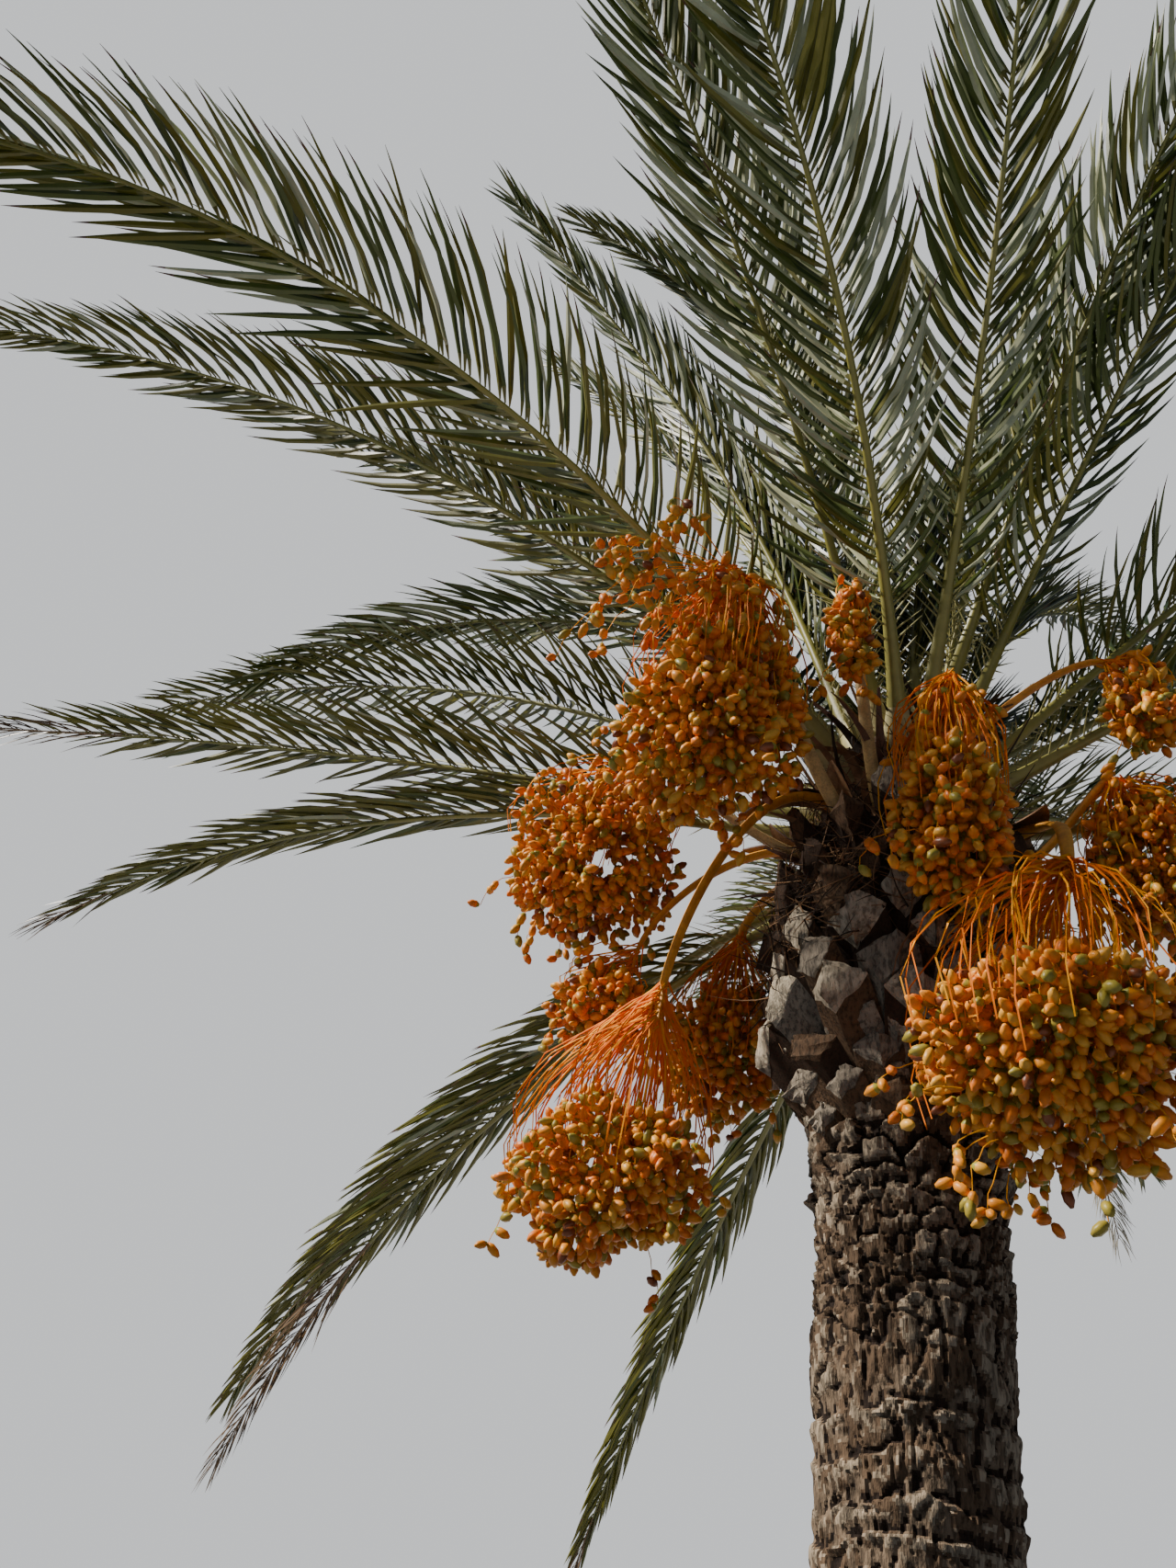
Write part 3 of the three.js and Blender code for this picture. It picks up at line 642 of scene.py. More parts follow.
def surface(name, colour, rough, spread, size, grain, relief, upright=1, specular=0.5, threads=0):
    """A procedural surface: a mottled base colour, a fine relief and, where threads are given, dark threads
    along the grain; upright under 1 draws all of it out along the height"""
    material = bpy.data.materials.new(name)
    material.use_nodes = True
    nodes, links = material.node_tree.nodes, material.node_tree.links
    shader = nodes["Principled BSDF"]
    shader.inputs["Roughness"].default_value = rough
    shader.inputs["Specular IOR Level"].default_value = specular
    place = nodes.new("ShaderNodeTexCoord")
    mapping = nodes.new("ShaderNodeMapping")
    mapping.inputs["Scale"].default_value = (1, 1, upright)
    links.new(place.outputs["Object"], mapping.inputs["Vector"])
    vector = mapping.outputs["Vector"]
    base = linear(colour)
    mottle = noise(nodes, links, vector, size, MOTTLE_DETAIL)
    tint = ramp(nodes, links, mottle, scaled(base, 1 - spread), scaled(base, 1 + spread))
    height = noise(nodes, links, vector, grain, GRAIN_DETAIL)
    if threads:
        tint = threaded(nodes, links, vector, tint, grain, 1 - threads)
    links.new(tint, shader.inputs["Base Color"])
    bump = nodes.new("ShaderNodeBump")
    bump.inputs["Strength"].default_value = relief
    bump.inputs["Distance"].default_value = grain
    links.new(height, bump.inputs["Height"])
    links.new(bump.outputs["Normal"], shader.inputs["Normal"])


def threaded(nodes, links, vector, tint, grain, dark):
    """A tint with threads across it that are as dark as given"""
    level = noise(nodes, links, vector, grain * THREAD_WIDTH, THREAD_DETAIL)
    lines = ramp(nodes, links, level, (dark, dark, dark, 1), (1, 1, 1, 1), THREAD_BAND)
    both = nodes.new("ShaderNodeMix")
    both.data_type = "RGBA"
    both.blend_type = "MULTIPLY"
    both.inputs["Factor"].default_value = 1
    links.new(tint, both.inputs["A"])
    links.new(lines, both.inputs["B"])
    return both.outputs["Result"]


def surfaces(colours, **look):
    """Surfaces that differ only in colour"""
    for name, colour in colours.items():
        surface(name, colour, **look)


LEAF_COLOURS = {
    "leaf_green": (33, 48, 12), "leaf_green_under": (76, 88, 31),
    "leaf_olive": (64, 66, 11), "leaf_olive_under": (108, 105, 30),
    "leaf_yellow": (110, 110, 32), "leaf_yellow_under": (140, 134, 50),
    "leaf_dry": (98, 74, 48), "leaf_dry_under": (112, 88, 62),
    "leaf_pale": (164, 152, 126), "leaf_pale_under": (176, 166, 142),
    # The waxy tones: a waxy bloom with a painted sheen, very pale underneath, standing for light glancing off
    # the leaflets
    "leaf_waxy_sheen": (116, 126, 80), "leaf_waxy_sheen_under": (204, 206, 166),
    "leaf_tip": (92, 58, 44), "leaf_foot": (118, 116, 62),
}
LEAF_TONES = list(LEAF_COLOURS)
GREEN, OLIVE, YELLOW, DRY, PALE, WAXY_SHEEN, TIP = range(0, 14, 2)
FOOT = TIP + 1
# What the tones of a leaflet's four faces add to its base tone: two upper faces, then two under ones. The
# under tones are paler: partly the leaflet's own paler underside, partly a painted glow of sunlight through
# the leaflet.
UNDERSIDES = np.array([0, 0, 1, 1])


def leaf_materials():
    surfaces(LEAF_COLOURS, rough=0.4, spread=0.25, size=0.10, grain=0.003, relief=0.12, upright=0.4,
             specular=0.3)


def rib_materials():
    surface("petiole_pale", (176, 166, 116), rough=0.5, spread=0.2, size=0.03, grain=0.003, relief=0.3)
    surface("petiole_green", (136, 131, 62), rough=0.45, spread=0.2, size=0.05, grain=0.003, relief=0.2)
    ribs = {"rib_olive": (136, 131, 54), "rib_green": (120, 120, 46)}
    surfaces(ribs, rough=0.4, spread=0.18, size=0.08, grain=0.003, relief=0.15)
    surface("rib_dry", (104, 80, 50), rough=0.6, spread=0.25, size=0.05, grain=0.003, relief=0.3)
    surface("spine", (164, 158, 100), rough=0.45, spread=0.15, size=0.02, grain=0.002, relief=0.1)


BARK_COLOURS = {
    # Painted shade: the crevice tone darkens the hollows of the bark
    "bark_crevice_shade": (38, 27, 20), "bark_brown": (97, 78, 60), "bark_grey": (121, 103, 84),
    # Partly a pale patch of bark, partly a painted highlight on spots that stand proud
    "bark_pale_highlight": (158, 141, 119),
}
BARK_TONES = list(BARK_COLOURS)
CREVICE_SHADE, BROWN_BARK, GREY_BARK, PALE_HIGHLIGHT_BARK = range(4)


def bark_materials():
    surfaces(BARK_COLOURS, rough=0.9, spread=0.35, size=0.022, grain=0.005, relief=1.0, upright=0.22,
             specular=0.2, threads=0.6)


def leaf_base_materials():
    stumps = {"boot_grey": (144, 132, 115), "boot_brown": (98, 75, 54)}
    surfaces(stumps, rough=0.85, spread=0.4, size=0.03, grain=0.005, relief=0.9, upright=0.25, specular=0.25,
             threads=0.6)
    surface("boot_dark", (58, 42, 31), rough=0.9, spread=0.4, size=0.03, grain=0.003, relief=0.8, upright=0.3,
            specular=0.2, threads=0.4)
    surface("boot_cut", (190, 176, 152), rough=0.9, spread=0.45, size=0.02, grain=0.006, relief=1.0,
            upright=0.35, specular=0.2, threads=0.5)


def fibre_materials():
    surface("crown_brown", (50, 36, 26), rough=0.95, spread=0.5, size=0.012, grain=0.003, relief=1.0,
            specular=0.15)
    fibres = {"fibre_brown": (134, 102, 72), "fibre_dark": (42, 30, 22)}
    surfaces(fibres, rough=0.8, spread=0.35, size=0.05, grain=0.002, relief=0.3, specular=0.2)
    surface("spathe_brown", (86, 52, 34), rough=0.6, spread=0.35, size=0.03, grain=0.003, relief=0.5,
            upright=0.4, threads=0.3)
    surface("spathe_inside", (146, 108, 72), rough=0.6, spread=0.25, size=0.03, grain=0.003, relief=0.4,
            upright=0.4, threads=0.3)


DATE_COLOURS = {
    "date_amber": (238, 148, 42), "date_orange": (230, 124, 32), "date_gold": (234, 168, 58),
    "date_olive": (160, 142, 52), "date_brown": (120, 62, 28), "date_calyx": (156, 150, 54),
}
DATE_TONES = list(DATE_COLOURS)
AMBER, ORANGE, GOLD, OLIVE_DATE, BROWN, CALYX = range(6)


def fruit_materials():
    surfaces(DATE_COLOURS, rough=0.42, spread=0.25, size=0.02, grain=0.004, relief=0.1, specular=0.3)
    strands = {"strand_orange": (244, 122, 4), "strand_gold": (250, 160, 8)}
    surfaces(strands, rough=0.6, spread=0.2, size=0.06, grain=0.003, relief=0.2, specular=0.15)
    surface("stalk_orange", (246, 160, 54), rough=0.45, spread=0.3, size=0.04, grain=0.003, relief=0.3,
            threads=0.12)
    surface("stalk_cream", (196, 164, 104), rough=0.5, spread=0.3, size=0.04, grain=0.003, relief=0.3,
            threads=0.25)


# Fronds
class Rib:
    """One frond's rib, by the source's rule"""

    def __init__(self, heading, foot, rise, bend, turn):
        self.shape = (heading, rise, bend, turn)
        self.rise = rise
        step = FROND_LENGTH / RIB_STEPS
        start = on_stem(foot, heading, HEART_PROFILE)
        forward = self.frame((np.arange(RIB_STEPS) + 0.5) * step)[0]
        self.line = start + np.vstack([np.zeros(3), np.cumsum(forward, axis=0)]) * step
        self.stations = np.arange(RIB_STEPS + 1) * step

    def frame(self, distance):
        heading, rise, bend, turn = self.shape
        t = np.maximum(distance, 0) / FROND_LENGTH
        return facing(heading + turn * t, rise - bend * t ** BEND_POWER)

    def point(self, distance):
        before = np.minimum(distance, 0)[..., None]
        return on_line(self.line, self.stations, distance) + self.frame(0.0)[0] * before


def far_fronds():
    for i in range(FAR_FRONDS):
        sideways = -FAR_SIDEWAYS if i % 2 == 0 else FAR_SIDEWAYS
        heading = FAR_HEADING + FAR_SPREAD * ((FAR_START + FAR_TURN * i) % 1)
        yield heading, FAR_TOP - FAR_DROP * i, FAR_RISE - FAR_RISE_STEP * i, FAR_BEND, sideways


# Shares of a frond's leaflets by number, and what is usual for the others
USUAL_WAXY_SHEEN = 0.05
USUAL_OLIVE = 0.35
USUAL_YELLOWING = 0.02
SPRAYS_A_SIDE = 9
SPRAY_SLOTS = 20
YELLOW_IN_SPRAY = 0.7
DYING_SHARE = 0.12
# Share of the leafy length from which a frond is dead, and its colour there
DEAD_FROM = {6: (0.86, DRY), 7: (0.90, DRY), 8: (0.62, DRY), 10: (0.9, DRY), 23: (0.80, PALE)}
# Shares of leaflets with the waxy tone and its painted sheen, by frond
WAXY_SHEEN_SHARE = {1: 0.14, 4: 0.4, 11: 0.45, 12: 0.35, 13: 0.4, 14: 0.45, 15: 0.2, 16: 0.3, 17: 0.3, 24: 0.2}
OLIVE_SHARE = {1: 0.5, 2: 0.7, 5: 0.8, 6: 0.8, 7: 0.9, 8: 0.85, 9: 0.85, 10: 0.8}
YELLOWING = {1: 0.06, 2: 0.08, 6: 0.15, 8: 0.12, 9: 0.1}


def leaflet_tones(number, share, hand, rng):
    """A base colour for each leaflet of a frond, dealt out by spray"""
    count = len(share)
    tone = np.where(rng.random(count) < OLIVE_SHARE.get(number, USUAL_OLIVE), OLIVE, GREEN)
    # Painted sheen: a share of the leaflets take the pale waxy tone
    tone[rng.random(count) < WAXY_SHEEN_SHARE.get(number, USUAL_WAXY_SHEEN)] = WAXY_SHEEN
    spray = (share * SPRAYS_A_SIDE).astype(int) + (hand > 0) * SPRAY_SLOTS
    yellow_sprays = rng.random(2 * SPRAY_SLOTS) < YELLOWING.get(number, USUAL_YELLOWING)
    tone[yellow_sprays[spray] & (rng.random(count) < YELLOW_IN_SPRAY)] = YELLOW
    if number in DEAD_FROM:
        start, dead = DEAD_FROM[number]
        chance = (share - start) / DYING_SHARE + 0.5
        tone[rng.random(count) < chance] = dead
    return tone


def add_leaflets(kind, rib, number, rng):
    index = np.tile(np.arange(LEAFLETS), 2)
    hand = np.repeat([1.0, -1.0], LEAFLETS)
    count = len(index)
    member = (index + (hand > 0)) % CLUSTER
    share = (index + 0.5 + CLUSTER_PULL * (1 - member) + rng.normal(0, PLACE_SPREAD, count)) / LEAFLETS
    share = np.clip(share, 0, LAST_LEAFLET)
    foot = mix(BARE_LENGTH, FROND_LENGTH, share)
    forward, side, up = rib.frame(foot)
    swell = mix(LEAFLET_SHORTEST, 1, np.sin(math.pi * share ** SWELL_POWER))
    lean = mix(*LEAFLET_LEAN, share ** LEAN_POWER) * along(LEAN_BY_RISE, rib.rise)
    lean = lean * NARROW_FRONDS.get(number, 1) + LEAN_AT_FOOT
    lean = np.radians(lean + rng.normal(0, LEAN_SPREAD, count) + CLUSTER_LEAN * (member - 1))
    fold = np.radians(LEAFLET_FOLD + CLUSTER_FAN[member] + rng.normal(0, FOLD_SPREAD, count))
    sin_fold, cos_fold = np.sin(fold)[:, None], np.cos(fold)[:, None]
    across = side * hand[:, None] * cos_fold + up * sin_fold
    direction = forward * np.cos(lean)[:, None] + across * np.sin(lean)[:, None]
    normal = up * cos_fold - side * hand[:, None] * sin_fold
    twist = rng.normal(TWISTED_FRONDS.get(number, BLADE_TWIST), TWIST_SPREAD, count)
    normal = turned(normal, direction, hand * np.radians(twist))
    length = LEAFLET_LENGTH * swell * rng.uniform(*LENGTH_VARIETY, count) * along(NARROW_BY_RISE, rib.rise)
    tone = leaflet_tones(number, share, hand, rng)
    dead = (tone == DRY) | (tone == PALE)
    start = rib.point(foot) + across * (along(RIB_TAPER, foot) * LEAFLET_SEAT)[:, None]
    path = leaflet_paths(start, direction, normal, forward, length, dead, hand, number, rib.rise, rng)
    rings = blades(path, normal, length, dead, rng)
    tones = tone[:, None, None] + UNDERSIDES + np.zeros((count, path.shape[1] - 1, len(UNDERSIDES)), int)
    tones[:, 0] = np.where(dead[:, None], tones[:, 0], FOOT)
    brown_tip = (rng.random(count) < BROWN_TIPS) & ~dead
    tones[brown_tip, -1] = TIP
    kind.add(rings, tones)


def leaflet_paths(start, direction, normal, forward, length, dead, hand, number, rise, rng):
    """The leaflets' middle lines, which droop, sway and bend forward towards their tips"""
    count = len(start)
    droop = rng.uniform(*DROOP, count) + dead * rng.uniform(*DEAD_DROOP, count)
    sway = rng.normal(0, SWAY, count) + dead * rng.normal(0, DEAD_SWAY, count)
    steps = np.diff(LEAFLET_STATIONS)
    middle = (LEAFLET_STATIONS[1:] + LEAFLET_STATIONS[:-1]) / 2
    bend = (middle[None] ** BEND_GROWTH)[..., None]
    blade = np.cross(direction, normal)
    sag = np.array([0, 0, -1.0]) * droop[:, None, None] * bend
    swept = SWEPT_FRONDS.get(number, along(FORWARD_BY_RISE, rise)) + UNDERSWEEP * (hand < 0)
    onward = forward * (rng.uniform(*FORWARD_CURVE, count) + swept)[:, None]
    heading = unit(direction[:, None] + sag + (blade * sway[:, None] + onward)[:, None] * bend)
    moves = heading * (steps[None, :, None] * length[:, None, None])
    return start[:, None] + np.concatenate([np.zeros((count, 1, 3)), np.cumsum(moves, axis=1)], axis=1)


def blades(path, normal, length, dead, rng):
    """Rings of the leaflets' V-shaped sections, more closed where they are dead"""
    b, n = sweep(path, normal[:, None])
    width = LEAFLET_HALF_WIDTH * LEAFLET_WIDTHS[None] * np.sqrt(length / USUAL_LENGTH)[:, None]
    width = width * (rng.uniform(*WIDTH_VARIETY, len(path)) * np.where(dead, DEAD_WIDTH, 1))[:, None]
    valley = np.radians(LEAFLET_VALLEYS)[None] + dead[:, None] * DEAD_CLOSING
    out = b * (width * np.cos(valley))[..., None]
    lift = n * (width * np.sin(valley))[..., None]
    thick = n * LEAFLET_THICKNESS
    return np.stack([path + out + lift, path + thick, path - out + lift, path - thick], axis=2)


RIB_STATIONS = np.concatenate([np.linspace(-0.05, 0.3, 9), np.linspace(0.36, 3.29, 32)])
RIB_TONES = ["petiole_pale", "petiole_green", "rib_olive", "rib_green", "rib_dry", "spine"]


def add_rib(kind, rib, number):
    distance = RIB_STATIONS
    slim = mix(1, RIB_SLIMMEST, ease(distance / RIB_SLIM_LENGTH))
    flare = RIB_FOOT_FLARE * ease((RIB_FLARE_END - distance) / RIB_FLARE_LENGTH)
    high = along(RIB_TAPER, distance)
    wide = high * slim + flare
    path = rib.point(distance)
    _, side, up = rib.frame(distance)
    angle = np.arange(RIB_SIDES) * 2 * math.pi / RIB_SIDES
    across = np.cos(angle)[None] * wide[:, None]
    lift = np.sin(angle)[None] * np.where(np.sin(angle) < 0, RIB_UNDER, RIB_OVER)[None] * high[:, None]
    rings = path[:, None] + across[..., None] * side[:, None] + lift[..., None] * up[:, None]
    tone = np.digitize((distance[1:] + distance[:-1]) / 2, RIB_TONE_ENDS)
    if number in DEAD_FROM:
        leafy = (distance[1:] - BARE_LENGTH) / (FROND_LENGTH - BARE_LENGTH)
        tone = np.where(leafy > DEAD_FROM[number][0], RIB_TONES.index("rib_dry"), tone)
    kind.add(rings[None], tone[None, :, None])


def add_spines(kind, rib, rng):
    """Short stiff spines on both edges of the bare foot, in place of leaflets"""
    count = 2 * SPINES
    foot = np.tile(np.linspace(*SPINE_PLACES, SPINES), 2) + rng.normal(0, SPINE_PLACE_SPREAD, count)
    hand = np.repeat([1.0, -1.0], SPINES)
    forward, side, up = rib.frame(foot)
    lean = np.radians(rng.normal(*SPINE_LEAN, count))[:, None]
    fold = np.radians(rng.normal(*SPINE_FOLD, count))[:, None]
    across = side * hand[:, None] * np.cos(fold) + up * np.sin(fold)
    direction = forward * np.cos(lean) + across * np.sin(lean)
    growth = ((foot - SPINE_PLACES[0]) / SPINE_GROWTH_LENGTH).clip(0, 1) ** SPINE_GROWTH
    length = mix(*SPINE_LENGTHS, growth) * rng.uniform(*SPINE_VARIETY, count)
    start = rib.point(foot) + side * (hand * along(RIB_TAPER, foot) * SPINE_SEAT)[:, None]
    path = start[:, None] + direction[:, None] * (length[:, None] * SPINE_SHARES)[..., None]
    kind.add(tube(path, up[:, None], SPINE_RADII, 4), RIB_TONES.index("spine"))


# Fruit
class Bunch:
    """One bunch's stalk and ball of fruit, by the source's rule"""

    def __init__(self, stalk, head, centre, sizes):
        heading, foot, rise = stalk
        self.foot = on_stem(foot, heading, HEART_PROFILE)
        self.forward, self.side, _ = facing(heading, rise)
        self.head = np.array(head)
        self.centre = np.array(centre)
        self.stretch = np.array([sizes[0], sizes[0], sizes[1]])
        self.size = sum(sizes) / 2
        span = np.linalg.norm(self.foot - self.head)
        out = self.foot + self.forward * STALK_REACH * span
        over = self.head + np.array([0, 0, STALK_ARCH * span])
        fine = bezier(self.foot, out, over, self.head, np.linspace(0, 1, 200))
        run = np.concatenate([[0], np.cumsum(np.linalg.norm(np.diff(fine, axis=0), axis=1))])
        self.length = run[-1]
        self.curve = lambda share: on_line(fine, run, np.asarray(share) * run[-1])
        self.end = unit(fine[-1] - fine[-6])

    def area(self):
        a, b = self.stretch[0], self.stretch[2]
        return 4 * math.pi * ((2 * (a * b) ** 1.6 + a ** 3.2) / 3) ** (1 / 1.6)


STALK_TONES = ["stalk_orange", "stalk_cream", "strand_orange", "strand_gold"]
STRAND_TONE = STALK_TONES.index("strand_orange")
GOLD_STRAND_TONE = STALK_TONES.index("strand_gold")
CREAM_STALKS = (1, 2, 8)


def add_stalk(kind, bunch, tone):
    share = np.linspace(0, 1, STALK_POINTS)
    path = bunch.curve(share)
    path[0] -= bunch.forward * STALK_SUNK
    slim = mix(STALK_SLIMMEST, 1, ease(bunch.size / LARGE_BUNCH))
    taper = STALK_END_TAPER * ease((share - STALK_TAPERS_FROM) / STALK_TAPER_LENGTH)
    wide = mix(*STALK_HALF_WIDTH, share) * slim * (1 - taper)
    tangent = unit(np.gradient(path, axis=0))
    side = np.cross(tangent, UPWARD)
    steep = np.linalg.norm(side, axis=1) < 0.2
    side[steep] = bunch.side
    up = np.cross(unit(side), tangent)
    kind.add(tube(path[None], up[None], wide[None], STALK_SIDES, STALK_FLATNESS), tone)


def add_strands(kind, bunch, rng):
    """Strands that leave the stalk's end, arch over and run down into the ball or over its shoulder"""
    gap = max(0, np.linalg.norm(bunch.head - bunch.centre) - bunch.size)
    count = int(STRANDS_PER_SIZE * bunch.size * (STRANDS_AT_LEAST + STRANDS_BY_GAP * gap))
    start = bunch.curve(rng.uniform(*STRAND_FEET, count)) + rng.normal(0, STRAND_FOOT_SPREAD, (count, 3))
    way = random_directions(rng, count)
    way[:, 2] = rng.uniform(*STRAND_RISE, count)
    shallow = rng.random(count) < SHALLOW_STRANDS
    depth = np.where(shallow, rng.uniform(*SHALLOW_DEPTHS, count), rng.uniform(*DEEP_DEPTHS, count))
    end = bunch.centre + unit(way) * bunch.stretch * depth[:, None]
    reach = np.linalg.norm(end - start, axis=1)[:, None]
    spread = unit((end - start) * STRAND_LEVELLING)
    first = start + (bunch.end * STRAND_ONWARD + spread * STRAND_ASIDE + UPWARD * STRAND_LIFT) * reach
    last = end + UPWARD * STRAND_ARCH * reach + (end - bunch.centre) * STRAND_ENTRY
    path = strand_paths(start, first, last, end, STRAND_JITTER, rng)
    size = np.linspace(*STRAND_RADIUS, STRAND_POINTS)[None] * rng.uniform(*STRAND_VARIETY, (count, 1))
    tone = np.where(rng.random(count) < 0.5, STRAND_TONE, GOLD_STRAND_TONE)[:, None, None]
    kind.add(tube(path, STRAND_REFERENCE, size, 3), tone)
    return path


def strand_paths(start, first, last, end, jitter, rng):
    """Curves with STRAND_POINTS points, each but the ends jittered"""
    path = bezier(start, first, last, end, np.linspace(0, 1, STRAND_POINTS))
    path[:, 1:-1] += rng.normal(0, jitter, (len(path), STRAND_POINTS - 2, 3))
    return path


def hanging(rng, count, pull):
    """Random directions with a pull downwards"""
    return unit(random_directions(rng, count) * DATE_SCATTER - UPWARD * pull)


def dates_on_strands(path, count, rng):
    """Dates along the strands above the ball"""
    strand = rng.integers(len(path), size=count)
    place = rng.uniform(*SHOULDER_REACH, count) * (path.shape[1] - 1)
    step = place.astype(int)
    spot = mix(path[strand, step], path[strand, step + 1], (place - step)[:, None])
    directions = hanging(rng, count, DATE_PULL)
    centres = spot + directions * DATE_LENGTH * DATE_HANG
    chosen = spaced(centres, DATE_SPACING, count)
    return centres[chosen], directions[chosen]


def date_tones(count, rng):
    return rng.choice([AMBER, ORANGE, GOLD, OLIVE_DATE, BROWN], count, p=DATE_SHARES)


def add_dates(kind, centre, direction, rng, stations=DATE_STATIONS, radii=DATE_RADII, sides=DATE_SIDES):
    """Dates whose calyx end is behind, each along its own direction"""
    count = len(centre)
    size = rng.uniform(*DATE_SIZES, count)
    half = DATE_LENGTH / 2 * size * rng.uniform(*DATE_STRETCH, count)
    path = centre[:, None] + direction[:, None] * (half[:, None] * stations)[..., None]
    radius = DATE_WIDTH / 2 * size[:, None] * radii[None]
    tones = np.broadcast_to(date_tones(count, rng)[:, None, None], (count, len(stations) - 1, sides)).copy()
    greenish = rng.random(count) < GREENISH_CALYX
    tones[greenish, 0] = CALYX
    helper = unit(np.cross(direction, random_directions(rng, count)))
    kind.add(tube(path, helper[:, None], radius, sides), tones)


def spaced(points, gap, limit):
    """Indices of points that keep a gap from all the earlier ones kept"""
    kept = np.empty((limit, 3))
    chosen = []
    for i, point in enumerate(points):
        used = len(chosen)
        if used == limit:
            break
        if used and (((kept[:used] - point) ** 2).sum(1) < gap * gap).any():
            continue
        kept[used] = point
        chosen.append(i)
    return np.array(chosen)


def lumpy(way, rng):
    """Slow waves over directions, with hollows deeper than the bulges are high"""
    waves = rng.normal(0, LUMP_PITCH, (3, LUMP_WAVES))
    level = np.sin(way @ waves + rng.uniform(0, 6.28, LUMP_WAVES)).sum(1) / LUMP_LEVEL
    return np.where(level < 0, HOLLOWS * level, BULGES * level)


def dented(way, number):
    """How far out the ball reaches in each direction, from the dents of its bunch"""
    reach = np.ones(len(way))
    for direction, left in DENTS.get(number, ()):
        reach = reach * mix(1, left, ease((way @ unit(np.array(direction)) - DENT_FROM) / DENT_OVER))
    return reach


def outside_opening(points, number):
    """False for points in the opening right through a bunch"""
    if number not in OPENINGS:
        return np.ones(len(points), bool)
    place, direction, half_width = OPENINGS[number]
    aside = np.cross(points - np.array(place), unit(np.array(direction)))
    return np.linalg.norm(aside, axis=1) > half_width


def ball_dates(bunch, number, limit, depths, rng):
    """Dates in threes and fours round nodes that lie between two depths of the lumpy ball"""
    way = random_directions(rng, limit * 3)
    depth = rng.uniform(*depths, len(way)) + LUMPINESS * lumpy(way, rng)
    node = bunch.centre + way * bunch.stretch * (depth * dented(way, number))[:, None]
    open_air = outside_opening(node, number)
    node, way = node[open_air], way[open_air]
    apart = spaced(node, NODE_SPACING, limit)
    node, normal = node[apart], unit(way[apart] / bunch.stretch)
    base = unit(normal * NODE_OUTWARD - UPWARD * NODE_PULL + rng.normal(0, NODE_SPREAD, node.shape))
    directions = unit(base[:, None] + rng.normal(0, FAN_SPREAD, (len(node), DATES_PER_NODE, 3)))
    centres = node[:, None] - normal[:, None] * NODE_DEPTH + directions * DATE_LENGTH * FAN_HANG
    centres, directions = centres.reshape(-1, 3), directions.reshape(-1, 3)
    chosen = spaced(centres, DATE_SPACING, limit)
    return centres[chosen], directions[chosen]


def add_hanging(strands, dates, starts, ends, per_strand, rng):
    """Loose strands from starts to ends, each with a date at its tip and more along its outer half"""
    reach = np.linalg.norm(ends - starts, axis=1)[:, None]
    first = starts + (ends - starts) * LOOSE_FORWARD + UPWARD * LOOSE_LIFT * reach
    last = ends + UPWARD * LOOSE_FALL * reach
    path = strand_paths(starts, first, last, ends, LOOSE_JITTER, rng)
    size = np.linspace(*LOOSE_RADIUS, STRAND_POINTS)
    strands.add(tube(path, STRAND_REFERENCE, size, 4), GOLD_STRAND_TONE)
    centres, directions = [], []
    for line in path:
        places = rng.uniform(LOOSE_DATES_FROM, 1.0, per_strand)
        places[0] = 1.0
        for place in places:
            spot = on_line(line, np.arange(STRAND_POINTS), place * (STRAND_POINTS - 1))
            direction = hanging(rng, 1, LOOSE_DATE_PULL)[0]
            centres.append(spot + direction * DATE_LENGTH * DATE_HANG)
            directions.append(direction)
    centres, directions = np.array(centres), np.array(directions)
    chosen = spaced(centres, DATE_SPACING * LOOSE_SPACING, len(centres))
    add_dates(dates, centres[chosen], directions[chosen], rng)


def add_droppers(strands, dates, bunch, rng):
    """Short loose strands that hang out of the ball's lower half"""
    count = int(DROPPERS_PER_SIZE * bunch.size)
    way = random_directions(rng, count)
    way[:, 2] = rng.uniform(*DROPPER_RISE, count)
    out = unit(way) * bunch.stretch
    fall = np.column_stack([way[:, :2] * DROPPER_ASIDE, -rng.uniform(*DROPPER_FALL, count)])
    inside, outside = bunch.centre + out * DROPPER_START, bunch.centre + out + fall
    add_hanging(strands, dates, inside, outside, DROPPER_DATES, rng)


# Bark
def value_noise(turn, height, columns, cell, rng):
    """Smooth noise round the trunk: columns cells to a turn, each of a height"""
    rows = int(height.max() / cell) + 3
    lattice = rng.random((rows, columns))
    x, y = turn * columns, height / cell
    ix, iy = np.floor(x).astype(int), np.floor(y).astype(int)
    fx, fy = ease(x - ix), ease(y - iy)
    left, right = ix % columns, (ix + 1) % columns
    low = mix(lattice[iy, left], lattice[iy, right], fx)
    high = mix(lattice[iy + 1, left], lattice[iy + 1, right], fx)
    return mix(low, high, fy)


def layered(turn, height, layers, rng):
    """Layers of noise added up, each with its cells to a turn, their height and its weight"""
    return sum(weight * value_noise(turn, height, columns, cell, rng) for columns, cell, weight in layers)


